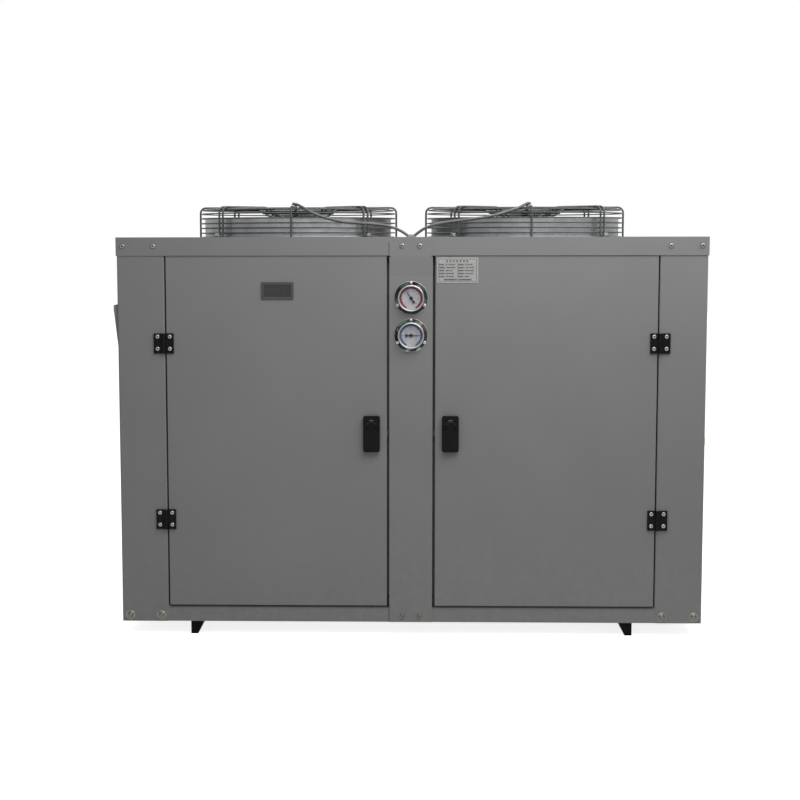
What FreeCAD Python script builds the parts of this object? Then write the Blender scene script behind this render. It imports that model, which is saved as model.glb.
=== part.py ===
# Air-cooled refrigeration condensing unit in a sheet-metal cabinet, with two doors and two fans on top.
# Millimetres. +X to the right, +Y to the back, +Z up. The origin is on the ground, midway between the
# four anchor holes of the skid rails.
import FreeCAD, Part
import math
import os

V = FreeCAD.Vector

# Cabinet
cab_w = 1400.0
cab_d = 800.0
body_h = 928.0
skid_h = 32.0
post_t = 1.5
base_t = 2.0
rail_h = 37.0
rail_lip = 12.0
cover_t = 1.5
cover_fit = 0.5
skirt_h = 44.0

# Posts
post_face = 113.0
post_side = 70.0
post_bend = 2.5
centre_w = 103.0
stop_depth = 28.0
stop_w = 14.0
joggle_run = 45.0
centre_lap = 32.0
rear_face = 113.0

# Doors
door_t = 1.2
door_depth = 25.0
door_lip = 12.0
door_bend = 2.0
hinge_gap = 3.0
latch_gap = 6.0
seal_w = 12.0
seal_clear = 0.3
rib_w = 40.0
rib_depth = 16.0

# Hinges
leaf_w = 23.75
leaf_h = 48.0
leaf_t = 4.0
pin_out = 5.0
pin_over = 4.3
pin_r = 2.5
knuckle_r = 4.4
knuckle_h = 16.0
run_clear = 0.05
hinge_high = 676.0
hinge_low = 251.0

# Latches
latch_w = 40.0
latch_h = 86.5
latch_z = 459.5
latch_in = 39.5
latch_frame_h = 31.0
latch_plate = 3.0
latch_thick = 8.0
latch_corner = 5.0
tongue_w = 19.0
tongue_top = 7.0
tongue_slope_h = 8.2
tongue_slope_d = 6.0
paddle_pin_down = 19.0
paddle_pin_r = 2.0
paddle_clear = 1.0
paddle_gap = 1.0
paddle_proud = 1.0
housing_w = 30.0
housing_h = 76.0
bolt_h = 14.0
bolt_d = 9.0
bolt_out = 3.2
bolt_clear = 0.15

# Gauges
gauge_high_z = 783.8
gauge_low_z = 695.4
gauge_flange_r = 40.0
gauge_bezel_r = 32.0
gauge_body_r = 30.0
gauge_back = 34.0
gauge_front = 14.0
gauge_flange_t = 2.0
gauge_wall = 3.0
gauge_lip = 4.5
gauge_lip_t = 1.2
dial_t = 0.8
dial_out = 4.0
lens_t = 1.5
needle_len = 20.0
needle_tail = 11.0
needle_pin_r = 1.5
needle_pin_l = 6.0
needle_high_deg = -34.0
needle_low_deg = 90.0

# Door fittings
window_w = 77.0
window_h = 41.0
window_z = 801.0
window_x = -317.6
window_out = 2.5
window_frame = 6.0
plate_w = 97.5
plate_h = 60.0
plate_x = 110.0
plate_z = 849.6
plate_t = 0.8

# Fans
fan_pitch = 589.4
shroud_r = 242.0
shroud_h = 47.0
shroud_t = 1.5
shroud_flange = 8.0
throat_r = 232.0
throat_down = 26.0
blade_count = 5
blade_tip_r = 225.0
blade_up = 25.0
blade_t = 3.0
hub_r = 69.0
hub_h = 60.0
shaft_r = 12.0
shaft_len = 32.0
motor_flange_r = 60.0
motor_flange_t = 8.0
hub_gap = 2.0

# Guards
guard_r = 258.5
guard_h = 78.0
guard_bend = 14.0
rod_w = 5.0
ring_w = 3.5
ring_sides = 24
side_ring_z = (10.5, 35.2)
top_ring_r = (238.0, 190.0, 145.0)
cone_r = 110.0
plate_drop = 28.0
guard_plate_r = 66.0
guard_plate_t = 3.0
pair_gap = 14.0
lug_l = 18.0

# Leads
lead_r = 3.5
lead_sides = 8
lead_slope = 40.0
grommet_neck_r = 11.0
grommet_rim = 0.3
grommet_seat = 8.0
grommet_d = 18.0
grommet_y = -265.0
gland_r = 9.0
gland_w = 24.0
gland_d = 10.0
gland_off = 32.0

# Coil
coil_t = 66.0
coil_bend_r = 90.0
coil_clear = 0.5
coil_front_gap = 74.0
coil_top_gap = 3.5
sheet_t = 2.0
header_r = 14.0
header_back = 18.0
header_low = 90.0
header_top = 80.0
gas_up = 360.0
liquid_header_l = 300.0

# Refrigeration parts
comp_x = 250.0
comp_y = 60.0
comp_r = 92.0
comp_h = 410.0
suction_up = 150.0
grommet_foot_h = 20.0
foot_t = 5.0
foot_span = 190.0
pad_r = 15.0
pad_in = 18.0
terminal_w = 90.0
terminal_h = 110.0
terminal_up = 200.0
terminal_out = 42.0
terminal_d = 60.0
receiver_x = 470.0
receiver_in = 150.0
receiver_in_z = 380.0
receiver_r = 80.0
receiver_h = 400.0
accumulator_x = 20.0
accumulator_r = 62.0
accumulator_h = 330.0
ring_foot_h = 25.0
drier_r = 32.0
drier_l = 150.0
discharge_r = 9.5
suction_r = 14.3
liquid_r = 7.95
stub_l = 18.0
discharge_z = 700.0
valve_in = 60.0
valve_back = 46.0
valve_z = 440.0
valve_pitch = 70.0
port_out = 6.0
port_gap = 3.0
port_wall = 3.0
valve_half = (15.0, 14.0, 18.0)

# Electrical box
box_x = -330.0
box_w = 360.0
box_h = 380.0
box_d = 120.0
box_in = 50.0
box_low = 500.0
support_w = 30.0
support_d = 25.0

# Skid rails and bolts
skid_top_w = 31.0
skid_foot_w = 17.0
skid_outer = 534.0
skid_wall = 3.0
skid_inset = 6.0
anchor_r = 4.5
anchor_pitch_y = 660.0
washer_r = 11.25
washer_t = 1.6
head_af = 13.0
head_h = 5.3
bolt_up = 15.0
bolt_near = 19.0
bolt_far = 95.0

# Side grip
grip_out = 10.4
grip_h = 107.0
grip_w = 46.0
grip_top = 767.0
grip_wall = 2.0
grip_back = 8.0

# Places that follow from the sizes
x_out = cab_w / 2
y_front = -cab_d / 2
y_rear = cab_d / 2
z_base = skid_h
z_top = z_base + body_h
z_rail = z_base + rail_h
z_skirt = z_top - skirt_h
z_cover = z_top - cover_t
door_low = z_rail + hinge_gap
door_high = z_skirt - hinge_gap
door_out = x_out - post_face - hinge_gap
door_in = centre_w / 2 + latch_gap
stop_y = y_front + stop_depth
pin_x = door_out + hinge_gap / 2 + pin_over
pin_y = y_front - pin_out
fan_x = fan_pitch / 2
receiver_y = y_front + receiver_in
box_y = y_front + box_in
guard_plate_z = z_top + guard_h - plate_drop
hub_top = guard_plate_z - guard_plate_t - motor_flange_t - hub_gap
shaft_low = hub_top + hub_gap - shaft_len
floor_z = z_base + base_t
handle_x = centre_w / 2 + latch_gap / 2 + latch_in
handle_z = z_base + latch_z


def vec(plane, u, v, w):
    """A point with u and v in the plane and w along its normal."""
    return {"xy": V(u, v, w), "xz": V(u, w, v), "yz": V(w, u, v)}[plane]


def outline(points, plane="xy", at=0.0):
    """A closed face from corners (u, v) or (u, v, radius), with tangent arcs at the rounded ones."""
    flat = [V(p[0], p[1], 0) for p in points]
    radii = [p[2] if len(p) > 2 else 0.0 for p in points]
    edges = []
    ends = []
    for i, here in enumerate(flat):
        back = flat[i - 1] - here
        ahead = flat[(i + 1) % len(flat)] - here
        if radii[i] <= 0:
            ends.append((here, here, None))
            continue
        half = back.getAngle(ahead) / 2
        cut = radii[i] / math.tan(half)
        start = here + back * (cut / back.Length)
        stop = here + ahead * (cut / ahead.Length)
        middle = (start + stop) * 0.5 - here
        reach = radii[i] / math.sin(half) - radii[i]
        ends.append((start, stop, here + middle * (reach / middle.Length)))
    place = [tuple(None if q is None else vec(plane, q.x, q.y, at) for q in e) for e in ends]
    for i, (start, stop, middle) in enumerate(place):
        if middle is not None:
            edges.append(Part.Arc(start, middle, stop).toShape())
        after = place[(i + 1) % len(place)][0]
        if (after - stop).Length > 1e-6:
            edges.append(Part.LineSegment(stop, after).toShape())
    return Part.Face(Part.Wire(edges))


def plate(points, plane, at, thick):
    """An outline in a plane, made solid along the plane's normal."""
    return outline(points, plane, at).extrude(vec(plane, 0, 0, thick))


def box(low, high):
    """A block from its low corner to its high corner."""
    size = [b - a for a, b in zip(low, high)]
    return Part.makeBox(size[0], size[1], size[2], V(*low))


def rod(centre, radius, length, axis):
    """A round bar that starts at centre and runs along axis."""
    return Part.makeCylinder(radius, length, V(*centre), V(*axis))


def turned(points, centre, axis=(0, 0, 1)):
    """A solid of revolution from corners (radius, height) or (radius, height, rounding)."""
    flat = outline(points, "xz")
    solid = flat.revolve(V(0, 0, 0), V(0, 0, 1), 360)
    turn = FreeCAD.Rotation(V(0, 0, 1), V(*axis))
    solid.Placement = FreeCAD.Placement(V(*centre), turn)
    return solid


def folded(points, thick, bend, plane, at, length):
    """A sheet folded along points, its thickness on the left of their direction, made solid."""
    flat = [V(p[0], p[1], 0) for p in points]
    runs = [(b - a) * (1 / (b - a).Length) for a, b in zip(flat, flat[1:])]
    left = [V(-r.y, r.x, 0) for r in runs]
    near = [(flat[0], 0.0)]
    far = [(flat[0] + left[0] * thick, 0.0)]
    for i in range(1, len(flat) - 1):
        turn = runs[i - 1].x * runs[i].y - runs[i - 1].y * runs[i].x
        mitre = left[i - 1] + left[i]
        shift = mitre * (2 * thick / mitre.Length ** 2)
        tight = turn > 0
        near.append((flat[i], bend + thick if tight else bend))
        far.append((flat[i] + shift, bend if tight else bend + thick))
    near.append((flat[-1], 0.0))
    far.append((flat[-1] + left[-1] * thick, 0.0))
    ring = [(p.x, p.y, r) for p, r in near + far[::-1]]
    return plate(ring, plane, at, length)


def mirrored(shape):
    """The same piece on the other side of the middle plane."""
    return shape.mirror(V(0, 0, 0), V(1, 0, 0))


def tube(points, radius, bend=None, sides=0):
    """A bar, round or with flat sides, along straight runs joined by tangent arcs, with all arc radii."""
    corners = [V(*p) for p in points]
    edges = []
    radii = []
    last = corners[0]
    for before, here, after in zip(corners, corners[1:], corners[2:]):
        back = before - here
        ahead = after - here
        half = (math.pi - back.getAngle(ahead)) / 2
        reach = 0.45 * min(back.Length, ahead.Length)
        arc_r = reach / math.tan(half)
        if bend is not None:
            arc_r = min(arc_r, bend)
            reach = arc_r * math.tan(half)
        radii.append(round(arc_r, 1))
        start = here + back * (reach / back.Length)
        stop = here + ahead * (reach / ahead.Length)
        inward = (start + stop) * 0.5 - here
        depth = arc_r / math.cos(half) - arc_r
        middle = here + inward * (depth / inward.Length)
        edges.append(Part.LineSegment(last, start).toShape())
        edges.append(Part.Arc(start, middle, stop).toShape())
        last = stop
    edges.append(Part.LineSegment(last, corners[-1]).toShape())
    path = Part.Wire(edges)
    along = corners[1] - corners[0]
    section = Part.Wire(Part.makeCircle(radius, V(0, 0, 0), V(0, 0, 1)))
    if sides:
        turns = [2 * math.pi * (k + 0.5) / sides for k in range(sides + 1)]
        section = Part.makePolygon([V(radius * math.cos(a), radius * math.sin(a), 0) for a in turns])
    section.Placement = FreeCAD.Placement(corners[0], FreeCAD.Rotation(V(0, 0, 1), along))
    area = Part.Face(section).Area
    solid = path.makePipeShell([section], True, False)
    return solid, radii, path.Length, area


def save(name, *shapes):
    """Writes one piece, or a group of separate pieces, as a STEP file."""
    shape = shapes[0] if len(shapes) == 1 else Part.makeCompound(list(shapes))
    shape.exportStep("parts/" + name + ".step")


def base_tray():
    """A folded tray with an inward lip, its floor carried by the skid rails."""
    x = x_out - post_t
    y = -y_front - post_t
    tray = box((-x, -y, z_base), (x, y, z_rail))
    tray = tray.makeFillet(post_bend, [e for e in tray.Edges if upright(e)])
    room = box((base_t - x, base_t - y, floor_z), (x - base_t, y - base_t, z_rail - base_t))
    lip = base_t + rail_lip
    mouth = box((lip - x, lip - y, floor_z), (x - lip, y - lip, z_rail + 1))
    return tray.cut([room, mouth])


def anchor_places():
    """Centres of the four anchor holes, in the middle of the skids' feet."""
    x = skid_outer - skid_foot_w / 2
    return [(sx * x, sy * anchor_pitch_y / 2) for sx in (-1, 1) for sy in (-1, 1)]


def anchor_holes(low, high):
    return [rod((x, y, low), anchor_r, high - low, (0, 0, 1)) for x, y in anchor_places()]


def bolt_places():
    """Centres of the bolts that hold the posts to the tray, front and rear."""
    across = [s * (x_out - d) for s in (-1, 1) for d in (bolt_near, bolt_far)]
    return [(x, side) for side in (-1, 1) for x in across]


def base_bolts():
    """Heads and wide washers of the hexagon bolts, seated on the posts."""
    bolts = []
    for x, side in bolt_places():
        z = z_base + bolt_up
        face = side * -y_front
        washer = rod((x, face, z), washer_r, washer_t, (0, side, 0))
        corner = head_af / math.sqrt(3)
        turns = [math.radians(60 * k) for k in range(6)]
        hexagon = [(x + corner * math.cos(a), z + corner * math.sin(a)) for a in turns]
        head = plate(hexagon, "xz", face + side * washer_t, side * head_h)
        bolts.append(washer.fuse(head))
    return bolts


def skid_rail():
    """A folded channel, narrower at its foot, closed by the tray above it."""
    inner = skid_outer - skid_top_w
    foot = skid_outer - skid_foot_w
    half = -y_front - skid_inset
    solid = plate([(inner, z_base), (foot, 0), (skid_outer, 0), (skid_outer, z_base)], "xz", -half, 2 * half)
    slope = skid_wall * math.hypot(1, (skid_top_w - skid_foot_w) / skid_h)
    lean = (skid_top_w - skid_foot_w) / skid_h
    room = [(inner + slope - lean, z_base + 1), (foot + slope - lean * skid_wall, skid_wall),
            (skid_outer - skid_wall, skid_wall), (skid_outer - skid_wall, z_base + 1)]
    solid = solid.cut(plate(room, "xz", skid_wall - half, 2 * (half - skid_wall)))
    return solid.cut(Part.makeCompound(anchor_holes(-1, skid_wall + 1)))


def front_post():
    """Right front corner post: side leg, face, return and the stop flange behind the door."""
    x_in = x_out - post_face
    points = [(x_out, y_front + post_side), (x_out, y_front), (x_in, y_front), (x_in, stop_y),
              (x_in - stop_w, stop_y)]
    post = folded(points[::-1], post_t, post_bend, "xy", z_base, z_cover - z_base)
    inside = x_in + post_t + post_bend
    low = box((x_in - stop_w - 1, y_front + post_t, z_base - 1), (inside, stop_y + 5, z_rail + 2))
    sill = box((x_in - stop_w - 1, y_front + post_t, z_base), (x_in - 0.5, stop_y + 5, z_rail + 20))
    head = box((x_in - stop_w - 1, y_front + post_t, z_skirt - 15), (x_in - 0.5, stop_y + 5, z_top))
    return post.cut([low, sill, head])


def rear_post():
    """Right rear corner post: side leg and rear face."""
    points = [(x_out, y_rear - post_side), (x_out, y_rear), (x_out - rear_face, y_rear)]
    return folded(points, post_t, post_bend, "xy", z_base, z_cover - z_base)


def centre_post():
    """Channel between the doors, lapping over tray and skirt, and the two stop strips welded to it."""
    half = centre_w / 2
    jog = cover_fit + cover_t
    top = z_top - skirt_h + centre_lap
    lean = [(y_front, z_base), (y_front, door_high - joggle_run), (y_front - jog - post_t, z_skirt - 2),
            (y_front - jog - post_t, top)]
    face = folded([(p[0], p[1]) for p in lean][::-1], post_t, post_bend, "yz", -half, centre_w)
    low = z_rail + 21
    web = half - post_t
    high = z_skirt - 17
    side = box((web, y_front + post_t, low), (half, stop_y, high))
    strip = box((web, stop_y, low), (half + stop_w, stop_y + post_t, high))
    channel = face.fuse([side, mirrored(side)])
    low, high = handle_z - bolt_h, handle_z + bolt_h
    slots = [box((s * half - 4, y_front + 6, low), (s * half + 4, y_front + 22, high)) for s in (-1, 1)]
    holes = [rod((0, y_front - 1, z_base + z), gauge_body_r + 0.3, 4, (0, 1, 0))
             for z in (gauge_high_z, gauge_low_z)]
    return channel.cut(slots + holes).removeSplitter(), strip, mirrored(strip)


def head_rail():
    """Rail across the top of the doors, with the upper stop."""
    half = x_out - post_face - 0.5
    y = y_front + post_t
    points = [(y, z_cover - 1), (y, z_skirt + 1), (stop_y, z_skirt + 1), (stop_y, z_skirt - 13)]
    rail = folded(points, post_t, 1.0, "yz", -half, 2 * half)
    cut = stop_w + 1
    ends = [box((s * half - cut, stop_y - 1, z_skirt - 14), (s * half + cut, stop_y + 4, z_skirt - 1))
            for s in (-1, 1)]
    return rail.cut(ends)


def sill_rail():
    """Rail behind the foot of the doors, standing on the tray's lip."""
    half = x_out - post_face - 0.5
    y = y_front + post_t
    points = [(y, z_rail), (stop_y + post_t, z_rail), (stop_y + post_t, z_rail + 17)]
    return folded(points, post_t, 1.0, "yz", -half, 2 * half)


def top_cover():
    """Cover with a skirt, the two air outlets and the hole for the leads."""
    over = cover_fit + cover_t
    x = x_out + over
    y = -y_front + over
    cover = box((-x, -y, z_skirt), (x, y, z_top))
    cover = cover.makeFillet(post_bend, [e for e in cover.Edges if upright(e)])
    room = box((cover_t - x, cover_t - y, z_skirt - 1), (x - cover_t, y - cover_t, z_cover))
    holes = [rod((s * fan_x, 0, z_cover - 1), shroud_r - shroud_t, cover_t + 2, (0, 0, 1)) for s in (-1, 1)]
    holes.append(rod((0, grommet_y, z_cover - 1), grommet_neck_r, cover_t + 2, (0, 0, 1)))
    return cover.cut([room] + holes)


def upright(edge):
    """True for a straight vertical edge."""
    box_of = edge.BoundBox
    return box_of.XLength < 1e-6 and box_of.YLength < 1e-6


def shroud(side):
    """Galvanised collar round the fan, folded inwards to the throat."""
    outer, wall = shroud_r, shroud_t
    low = shroud_h - throat_down
    profile = [(outer - wall, 0), (outer + shroud_flange, 0), (outer + shroud_flange, wall), (outer, wall),
               (outer, shroud_h), (throat_r, shroud_h), (throat_r, low), (outer - wall, low)]
    return turned(profile, (side * fan_x, 0, z_top))


def ring(radius, low, high, centre):
    """A welded ring of square wire, as a many-sided hoop inside the rods."""
    hoops = []
    for r in (radius, radius - ring_w):
        turns = [2 * math.pi * k / ring_sides for k in range(ring_sides)]
        corners = [(centre + r * math.cos(a), r * math.sin(a)) for a in turns]
        hoops.append(plate(corners, "xy", low, high - low))
    return hoops[0].cut(hoops[1])


def guard_rod(centre, angle, shift):
    """One bent rod from the panel over the rim to the middle plate, angle from the front."""
    top, under = guard_h, guard_h - rod_w
    cut = 0.6 * guard_bend
    dip = guard_h - plate_drop
    outer = [(guard_r, 0), (guard_r, top - cut), (guard_r - cut, top), (cone_r, top),
             (guard_plate_r - 6, dip), (guard_plate_r - 12, dip)]
    inner = [(guard_plate_r - 12, dip - guard_plate_t), (guard_plate_r - 4, dip - guard_plate_t),
             (cone_r - 2, under), (guard_r - cut - rod_w / 2, under),
             (guard_r - rod_w, under - cut + rod_w / 2), (guard_r - rod_w, 0)]
    bar = plate([(r, z_top + z) for r, z in outer + inner], "xz", shift - rod_w / 2, rod_w)
    return turned_to(bar, centre, angle)


def turned_to(piece, centre, angle):
    """A piece drawn along +X from the fan's axis, turned to an angle from the front."""
    piece.rotate(V(0, 0, 0), V(0, 0, 1), angle - 90)
    piece.translate(V(centre, 0, 0))
    return piece


def fan_guard(side):
    """Wire guard: rods in pairs and singles, hoops inside them, and the plate that holds the motor."""
    centre = side * fan_x
    pieces = []
    for k in range(4):
        pieces.append(guard_rod(centre, 90 * k, 0.0))
        for half in (-0.5, 0.5):
            pieces.append(guard_rod(centre, 45 + 90 * k, half * pair_gap))
        wide = pair_gap / 2 + rod_w / 2
        lug = box((guard_r - rod_w, -wide, z_top), (guard_r + lug_l, wide, z_top + guard_plate_t))
        pieces.append(turned_to(lug, centre, 45 + 90 * k))
    weld = 0.6
    for z in side_ring_z:
        low = z_top + z - ring_w / 2
        pieces.append(ring(guard_r - rod_w + 2 * weld, low, low + ring_w, centre))
    under = z_top + guard_h - rod_w + weld
    for r in top_ring_r:
        pieces.append(ring(r, under - ring_w, under, centre))
    middle = rod((centre, 0, guard_plate_z - guard_plate_t), guard_plate_r, guard_plate_t, (0, 0, 1))
    hole = rod((centre, 0, guard_plate_z - guard_plate_t - 1), gland_off - gland_r - 6, 5, (0, 0, 1))
    pieces.append(middle.cut(hole))
    solid = pieces[0].fuse(pieces[1:]).removeSplitter()
    return solid


def fan_motor(side):
    """Fixed half of the fan motor: flange, shaft and the gland of its lead."""
    centre = side * fan_x
    top = guard_plate_z - guard_plate_t
    flange = rod((centre, 0, top - motor_flange_t), motor_flange_r, motor_flange_t, (0, 0, 1))
    shaft = rod((centre, 0, shaft_low), shaft_r, top - shaft_low, (0, 0, 1))
    return flange.fuse(shaft)


def motor_gland(side):
    """Terminal block on the middle plate, with the nose that the lead leaves towards the front."""
    x = side * fan_x
    block = box((x - gland_w / 2, gland_d - gland_off, guard_plate_z),
                (x + gland_w / 2, 2 * gland_d - gland_off, guard_plate_z + 2 * gland_r))
    nose = rod((x, gland_d - gland_off, guard_plate_z + gland_r), gland_r - 3, gland_d, (0, -1, 0))
    return block.fuse(nose)


def blade_section(radius, lead, chord, pitch, height):
    """Thin section of a blade at one radius, as a closed wire."""
    wire = []
    for rise, order in ((blade_t / 2, (-0.5, 0.5)), (-blade_t / 2, (0.5, -0.5))):
        for s in order:
            along = s * chord * math.cos(pitch) - rise * math.sin(pitch)
            up = s * chord * math.sin(pitch) + rise * math.cos(pitch)
            x = radius * math.cos(lead) - along * math.sin(lead)
            y = radius * math.sin(lead) + along * math.cos(lead)
            wire.append(V(x, y, height + up))
    return Part.makePolygon(wire + [wire[0]])


def impeller(side, sense):
    """Outer rotor with swept, twisted blades, running on the motor's shaft."""
    low = hub_top - hub_h
    hub = rod((0, 0, low), hub_r, hub_h, (0, 0, 1))
    hub = hub.cut(rod((0, 0, shaft_low - 1), shaft_r + run_clear, hub_top - shaft_low + 2, (0, 0, 1)))
    middle = z_top + blade_up
    half_way = (hub_r + blade_tip_r) / 2
    stations = [(hub_r - 3, 0.0, 64.0, 35.0), (half_way, 0.14, 96.0, 23.0),
                (blade_tip_r + 8, 0.34, 124.0, 17.0)]
    wires = [blade_section(r, a, c, math.radians(p), middle) for r, a, c, p in stations]
    blade = Part.makeLoft(wires, True, True)
    blade = blade.common(rod((0, 0, middle - hub_h), blade_tip_r, 2 * hub_h, (0, 0, 1)))
    blades = []
    for k in range(blade_count):
        copy = blade.copy()
        copy.rotate(V(0, 0, 0), V(0, 0, 1), 360.0 * k / blade_count)
        blades.append(copy)
    solid = hub.fuse(blades)
    solid.rotate(V(0, 0, 0), V(0, 0, 1), sense)
    solid.translate(V(side * fan_x, 0, 0))
    return solid


def grommet_seat_place():
    """Distance from the middle and height over the cover of the point where a lead meets the grommet."""
    return grommet_seat, (lead_r + grommet_rim) * math.cos(math.radians(lead_slope))


def lead_route(side):
    """Route of a fan lead: over the guard, down in front of it and into the cover's grommet."""
    z = z_top
    c = side * fan_x
    over = z + guard_h + lead_r + 0.6
    gland = guard_plate_z + gland_r
    start = [(c, -gland_off, gland), (c, -gland_off - 28, gland), (c, -104, over + 3.2),
             (c - side, -150, over + 0.6),
             (c - side, -197, over), (c - 3 * side, -221, over + 0.4), (c - 12 * side, -244, over - 0.5)]
    if side < 0:
        free = [(-265, -260, z + 72), (-243, -267, z + 59), (-211, -268.5, z + 47), (-169, -269, z + 36.3),
                (-123, -269, z + 33.6), (-83, -268, z + 31), (-50, -266.5, z + 25.5)]
    else:
        free = [(264, -260, z + 71), (239, -267, z + 62.5), (203, -268.5, z + 51.5), (160, -269, z + 44.5),
                (114, -269, z + 39), (72, -268, z + 33.5), (40, -266.5, z + 25)]
    near, up = grommet_seat_place()
    run = 17.0
    slope = math.radians(lead_slope)
    stop = [(side * (near + run * math.cos(slope)), grommet_y, z + up + run * math.sin(slope)),
            (side * near, grommet_y, z + up)]
    return start + free + stop


def lead_grommet():
    """Low grommet in the cover, its two flanks square to the leads that go in there."""
    near, up = grommet_seat_place()
    lean = (lead_r + grommet_rim) * math.sin(math.radians(lead_slope))
    high = z_top + 2 * up
    head = [(-near - lean, z_top), (near + lean, z_top), (near - lean, high), (lean - near, high)]
    head = plate(head, "xz", grommet_y - grommet_d / 2, grommet_d)
    return head.fuse(rod((0, grommet_y, z_cover), grommet_neck_r, cover_t, (0, 0, 1)))


def coil():
    """Finned coil bent round three sides of the cabinet, with a tube sheet on each front end."""
    side = x_out - post_t - base_t - rail_lip - coil_clear
    rear = y_rear - post_t - base_t - rail_lip - coil_clear
    front = y_front + coil_front_gap
    inner = coil_bend_r - coil_t
    outer = [(-side, front), (-side, rear, coil_bend_r), (side, rear, coil_bend_r), (side, front)]
    hollow = [(side - coil_t, front), (side - coil_t, rear - coil_t, inner),
              (coil_t - side, rear - coil_t, inner), (coil_t - side, front)]
    high = z_cover - coil_top_gap
    pack = plate(outer + hollow, "xy", floor_z, high - floor_z)
    sheets = [box((s * (side - coil_t / 2) - coil_t / 2 - 4, front - sheet_t, floor_z),
                  (s * (side - coil_t / 2) + coil_t / 2, front, high)) for s in (-1, 1)]
    sheets[0].translate(V(4, 0, 0))
    return pack, sheets[0], sheets[1]


def headers():
    """Upright pipes that join the coil's circuits, behind the right door's hinge side."""
    x = x_out - post_t - base_t - rail_lip - coil_clear - coil_t - header_r - 6
    y = y_front + coil_front_gap + header_back
    low, high = floor_z + header_low, z_cover - header_top
    gas = rod((x, y, low + gas_up), header_r, high - low - gas_up, (0, 0, 1))
    liquid = rod((x, receiver_y, low), header_r - 4, liquid_header_l, (0, 0, 1))
    return gas, liquid, (x, y)


def compressor():
    """Hermetic shell with its discharge and suction stubs."""
    low = floor_z + grommet_foot_h + foot_t
    r = comp_r
    shell = turned([(0, 0), (r - 24, 0), (r, 20), (r, comp_h - 34), (r - 30, comp_h), (0, comp_h)],
                   (comp_x, comp_y, low))
    up = rod((comp_x, comp_y, low + comp_h), discharge_r + port_wall, stub_l, (0, 0, 1))
    inset = 5
    across = rod((comp_x - comp_r + inset, comp_y, low + suction_up), suction_r + port_wall, stub_l + inset,
                 (-1, 0, 0))
    return shell.fuse([up, across])


def compressor_mounts():
    """Foot plate on four rubber grommets."""
    half = foot_span / 2
    low = floor_z + grommet_foot_h
    foot = box((comp_x - half, comp_y - half, low), (comp_x + half, comp_y + half, low + foot_t))
    near = half - pad_in
    pads = [rod((comp_x + sx * near, comp_y + sy * near, floor_z), pad_r, grommet_foot_h, (0, 0, 1))
            for sx in (-1, 1) for sy in (-1, 1)]
    return [foot] + pads


def terminal_box():
    """Terminal cover on the front of the compressor's shell."""
    low = floor_z + grommet_foot_h + foot_t + terminal_up
    high = low + terminal_h
    half = terminal_w / 2
    block = plate([(comp_x - half, low, 6), (comp_x + half, low, 6), (comp_x + half, high, 6),
                   (comp_x - half, high, 6)], "xz", comp_y - comp_r - terminal_out, terminal_d)
    return block.cut(rod((comp_x, comp_y, low - 1), comp_r, terminal_h + 2, (0, 0, 1)))


def vessel(x, y, r, height):
    """Upright pressure vessel on a foot ring."""
    low = floor_z + ring_foot_h
    return turned([(0, low), (r - 22, low), (r - 22, floor_z), (r - 14, floor_z), (r - 14, low), (r, low + 20),
                   (r, low + height - 24), (r - 28, low + height), (0, low + height)], (x, y, 0))


def receiver():
    """Liquid receiver with an inlet stub towards the header and an outlet stub on top."""
    high = floor_z + ring_foot_h + receiver_h
    out = rod((receiver_x, receiver_y, high), liquid_r + port_wall, stub_l, (0, 0, 1))
    inlet = rod((receiver_x + receiver_r - 5, receiver_y, receiver_in_z), liquid_r + port_wall, stub_l + 5,
                (1, 0, 0))
    return vessel(receiver_x, receiver_y, receiver_r, receiver_h).fuse([out, inlet])


def accumulator():
    """Suction accumulator with a stub on top and one towards the compressor."""
    high = floor_z + ring_foot_h + accumulator_h
    inlet = rod((accumulator_x, comp_y, high), suction_r + port_wall, stub_l, (0, 0, 1))
    out = rod((accumulator_x + accumulator_r - 5, comp_y, suction_z()), suction_r + port_wall, stub_l + 5,
              (1, 0, 0))
    return vessel(accumulator_x, comp_y, accumulator_r, accumulator_h).fuse([inlet, out])


def suction_z():
    """Height of the compressor's suction stub, which the accumulator's outlet shares."""
    return floor_z + grommet_foot_h + foot_t + suction_up


def drier():
    """Filter drier standing on the receiver's outlet stub."""
    low = floor_z + ring_foot_h + receiver_h + stub_l
    neck = liquid_r + port_wall
    return turned([(0, 0), (neck, 0), (drier_r, 20), (drier_r, drier_l - 20), (neck, drier_l), (0, drier_l)],
                  (receiver_x, receiver_y, low))


def valve_centre(k):
    """Centre of a service valve, 0 for suction and 1 for liquid."""
    return x_out - valve_in, y_front + valve_back, z_base + valve_z + k * valve_pitch


def service_valves():
    """Two valves on one bracket, their ports pointing out through the right post."""
    made = []
    hx, hy, hz = valve_half
    for k, r in ((0, suction_r), (1, liquid_r)):
        x, y, z = valve_centre(k)
        body = box((x - hx, y - hy, z - hz), (x + hx, y + hy, z + hz))
        port = rod((x + hx, y, z), r + port_wall, valve_in - hx + port_out, (1, 0, 0))
        stub = rod((x, y, z + hz), r + port_wall, stub_l, (0, 0, 1))
        if k == 0:
            stub = rod((x - hx, y, z), r + port_wall, stub_l, (-1, 0, 0))
        valve = body.fuse([port, stub])
        made.append(valve.cut(rod((x + 20, y, z), r + run_clear, valve_in + port_out, (1, 0, 0))))
    x, y, z = valve_centre(1)
    made.append(box((x - hx, y + hy, floor_z), (x + hx, y + hy + foot_t, z + hz)))
    return made


def ports_in_post():
    """The two holes in the right post's side leg that the service valves point through."""
    holes = []
    for k, r in ((0, suction_r), (1, liquid_r)):
        x, y, z = valve_centre(k)
        holes.append(rod((x_out - 10, y, z), r + port_wall + port_gap, 20, (1, 0, 0)))
    return holes


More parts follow.
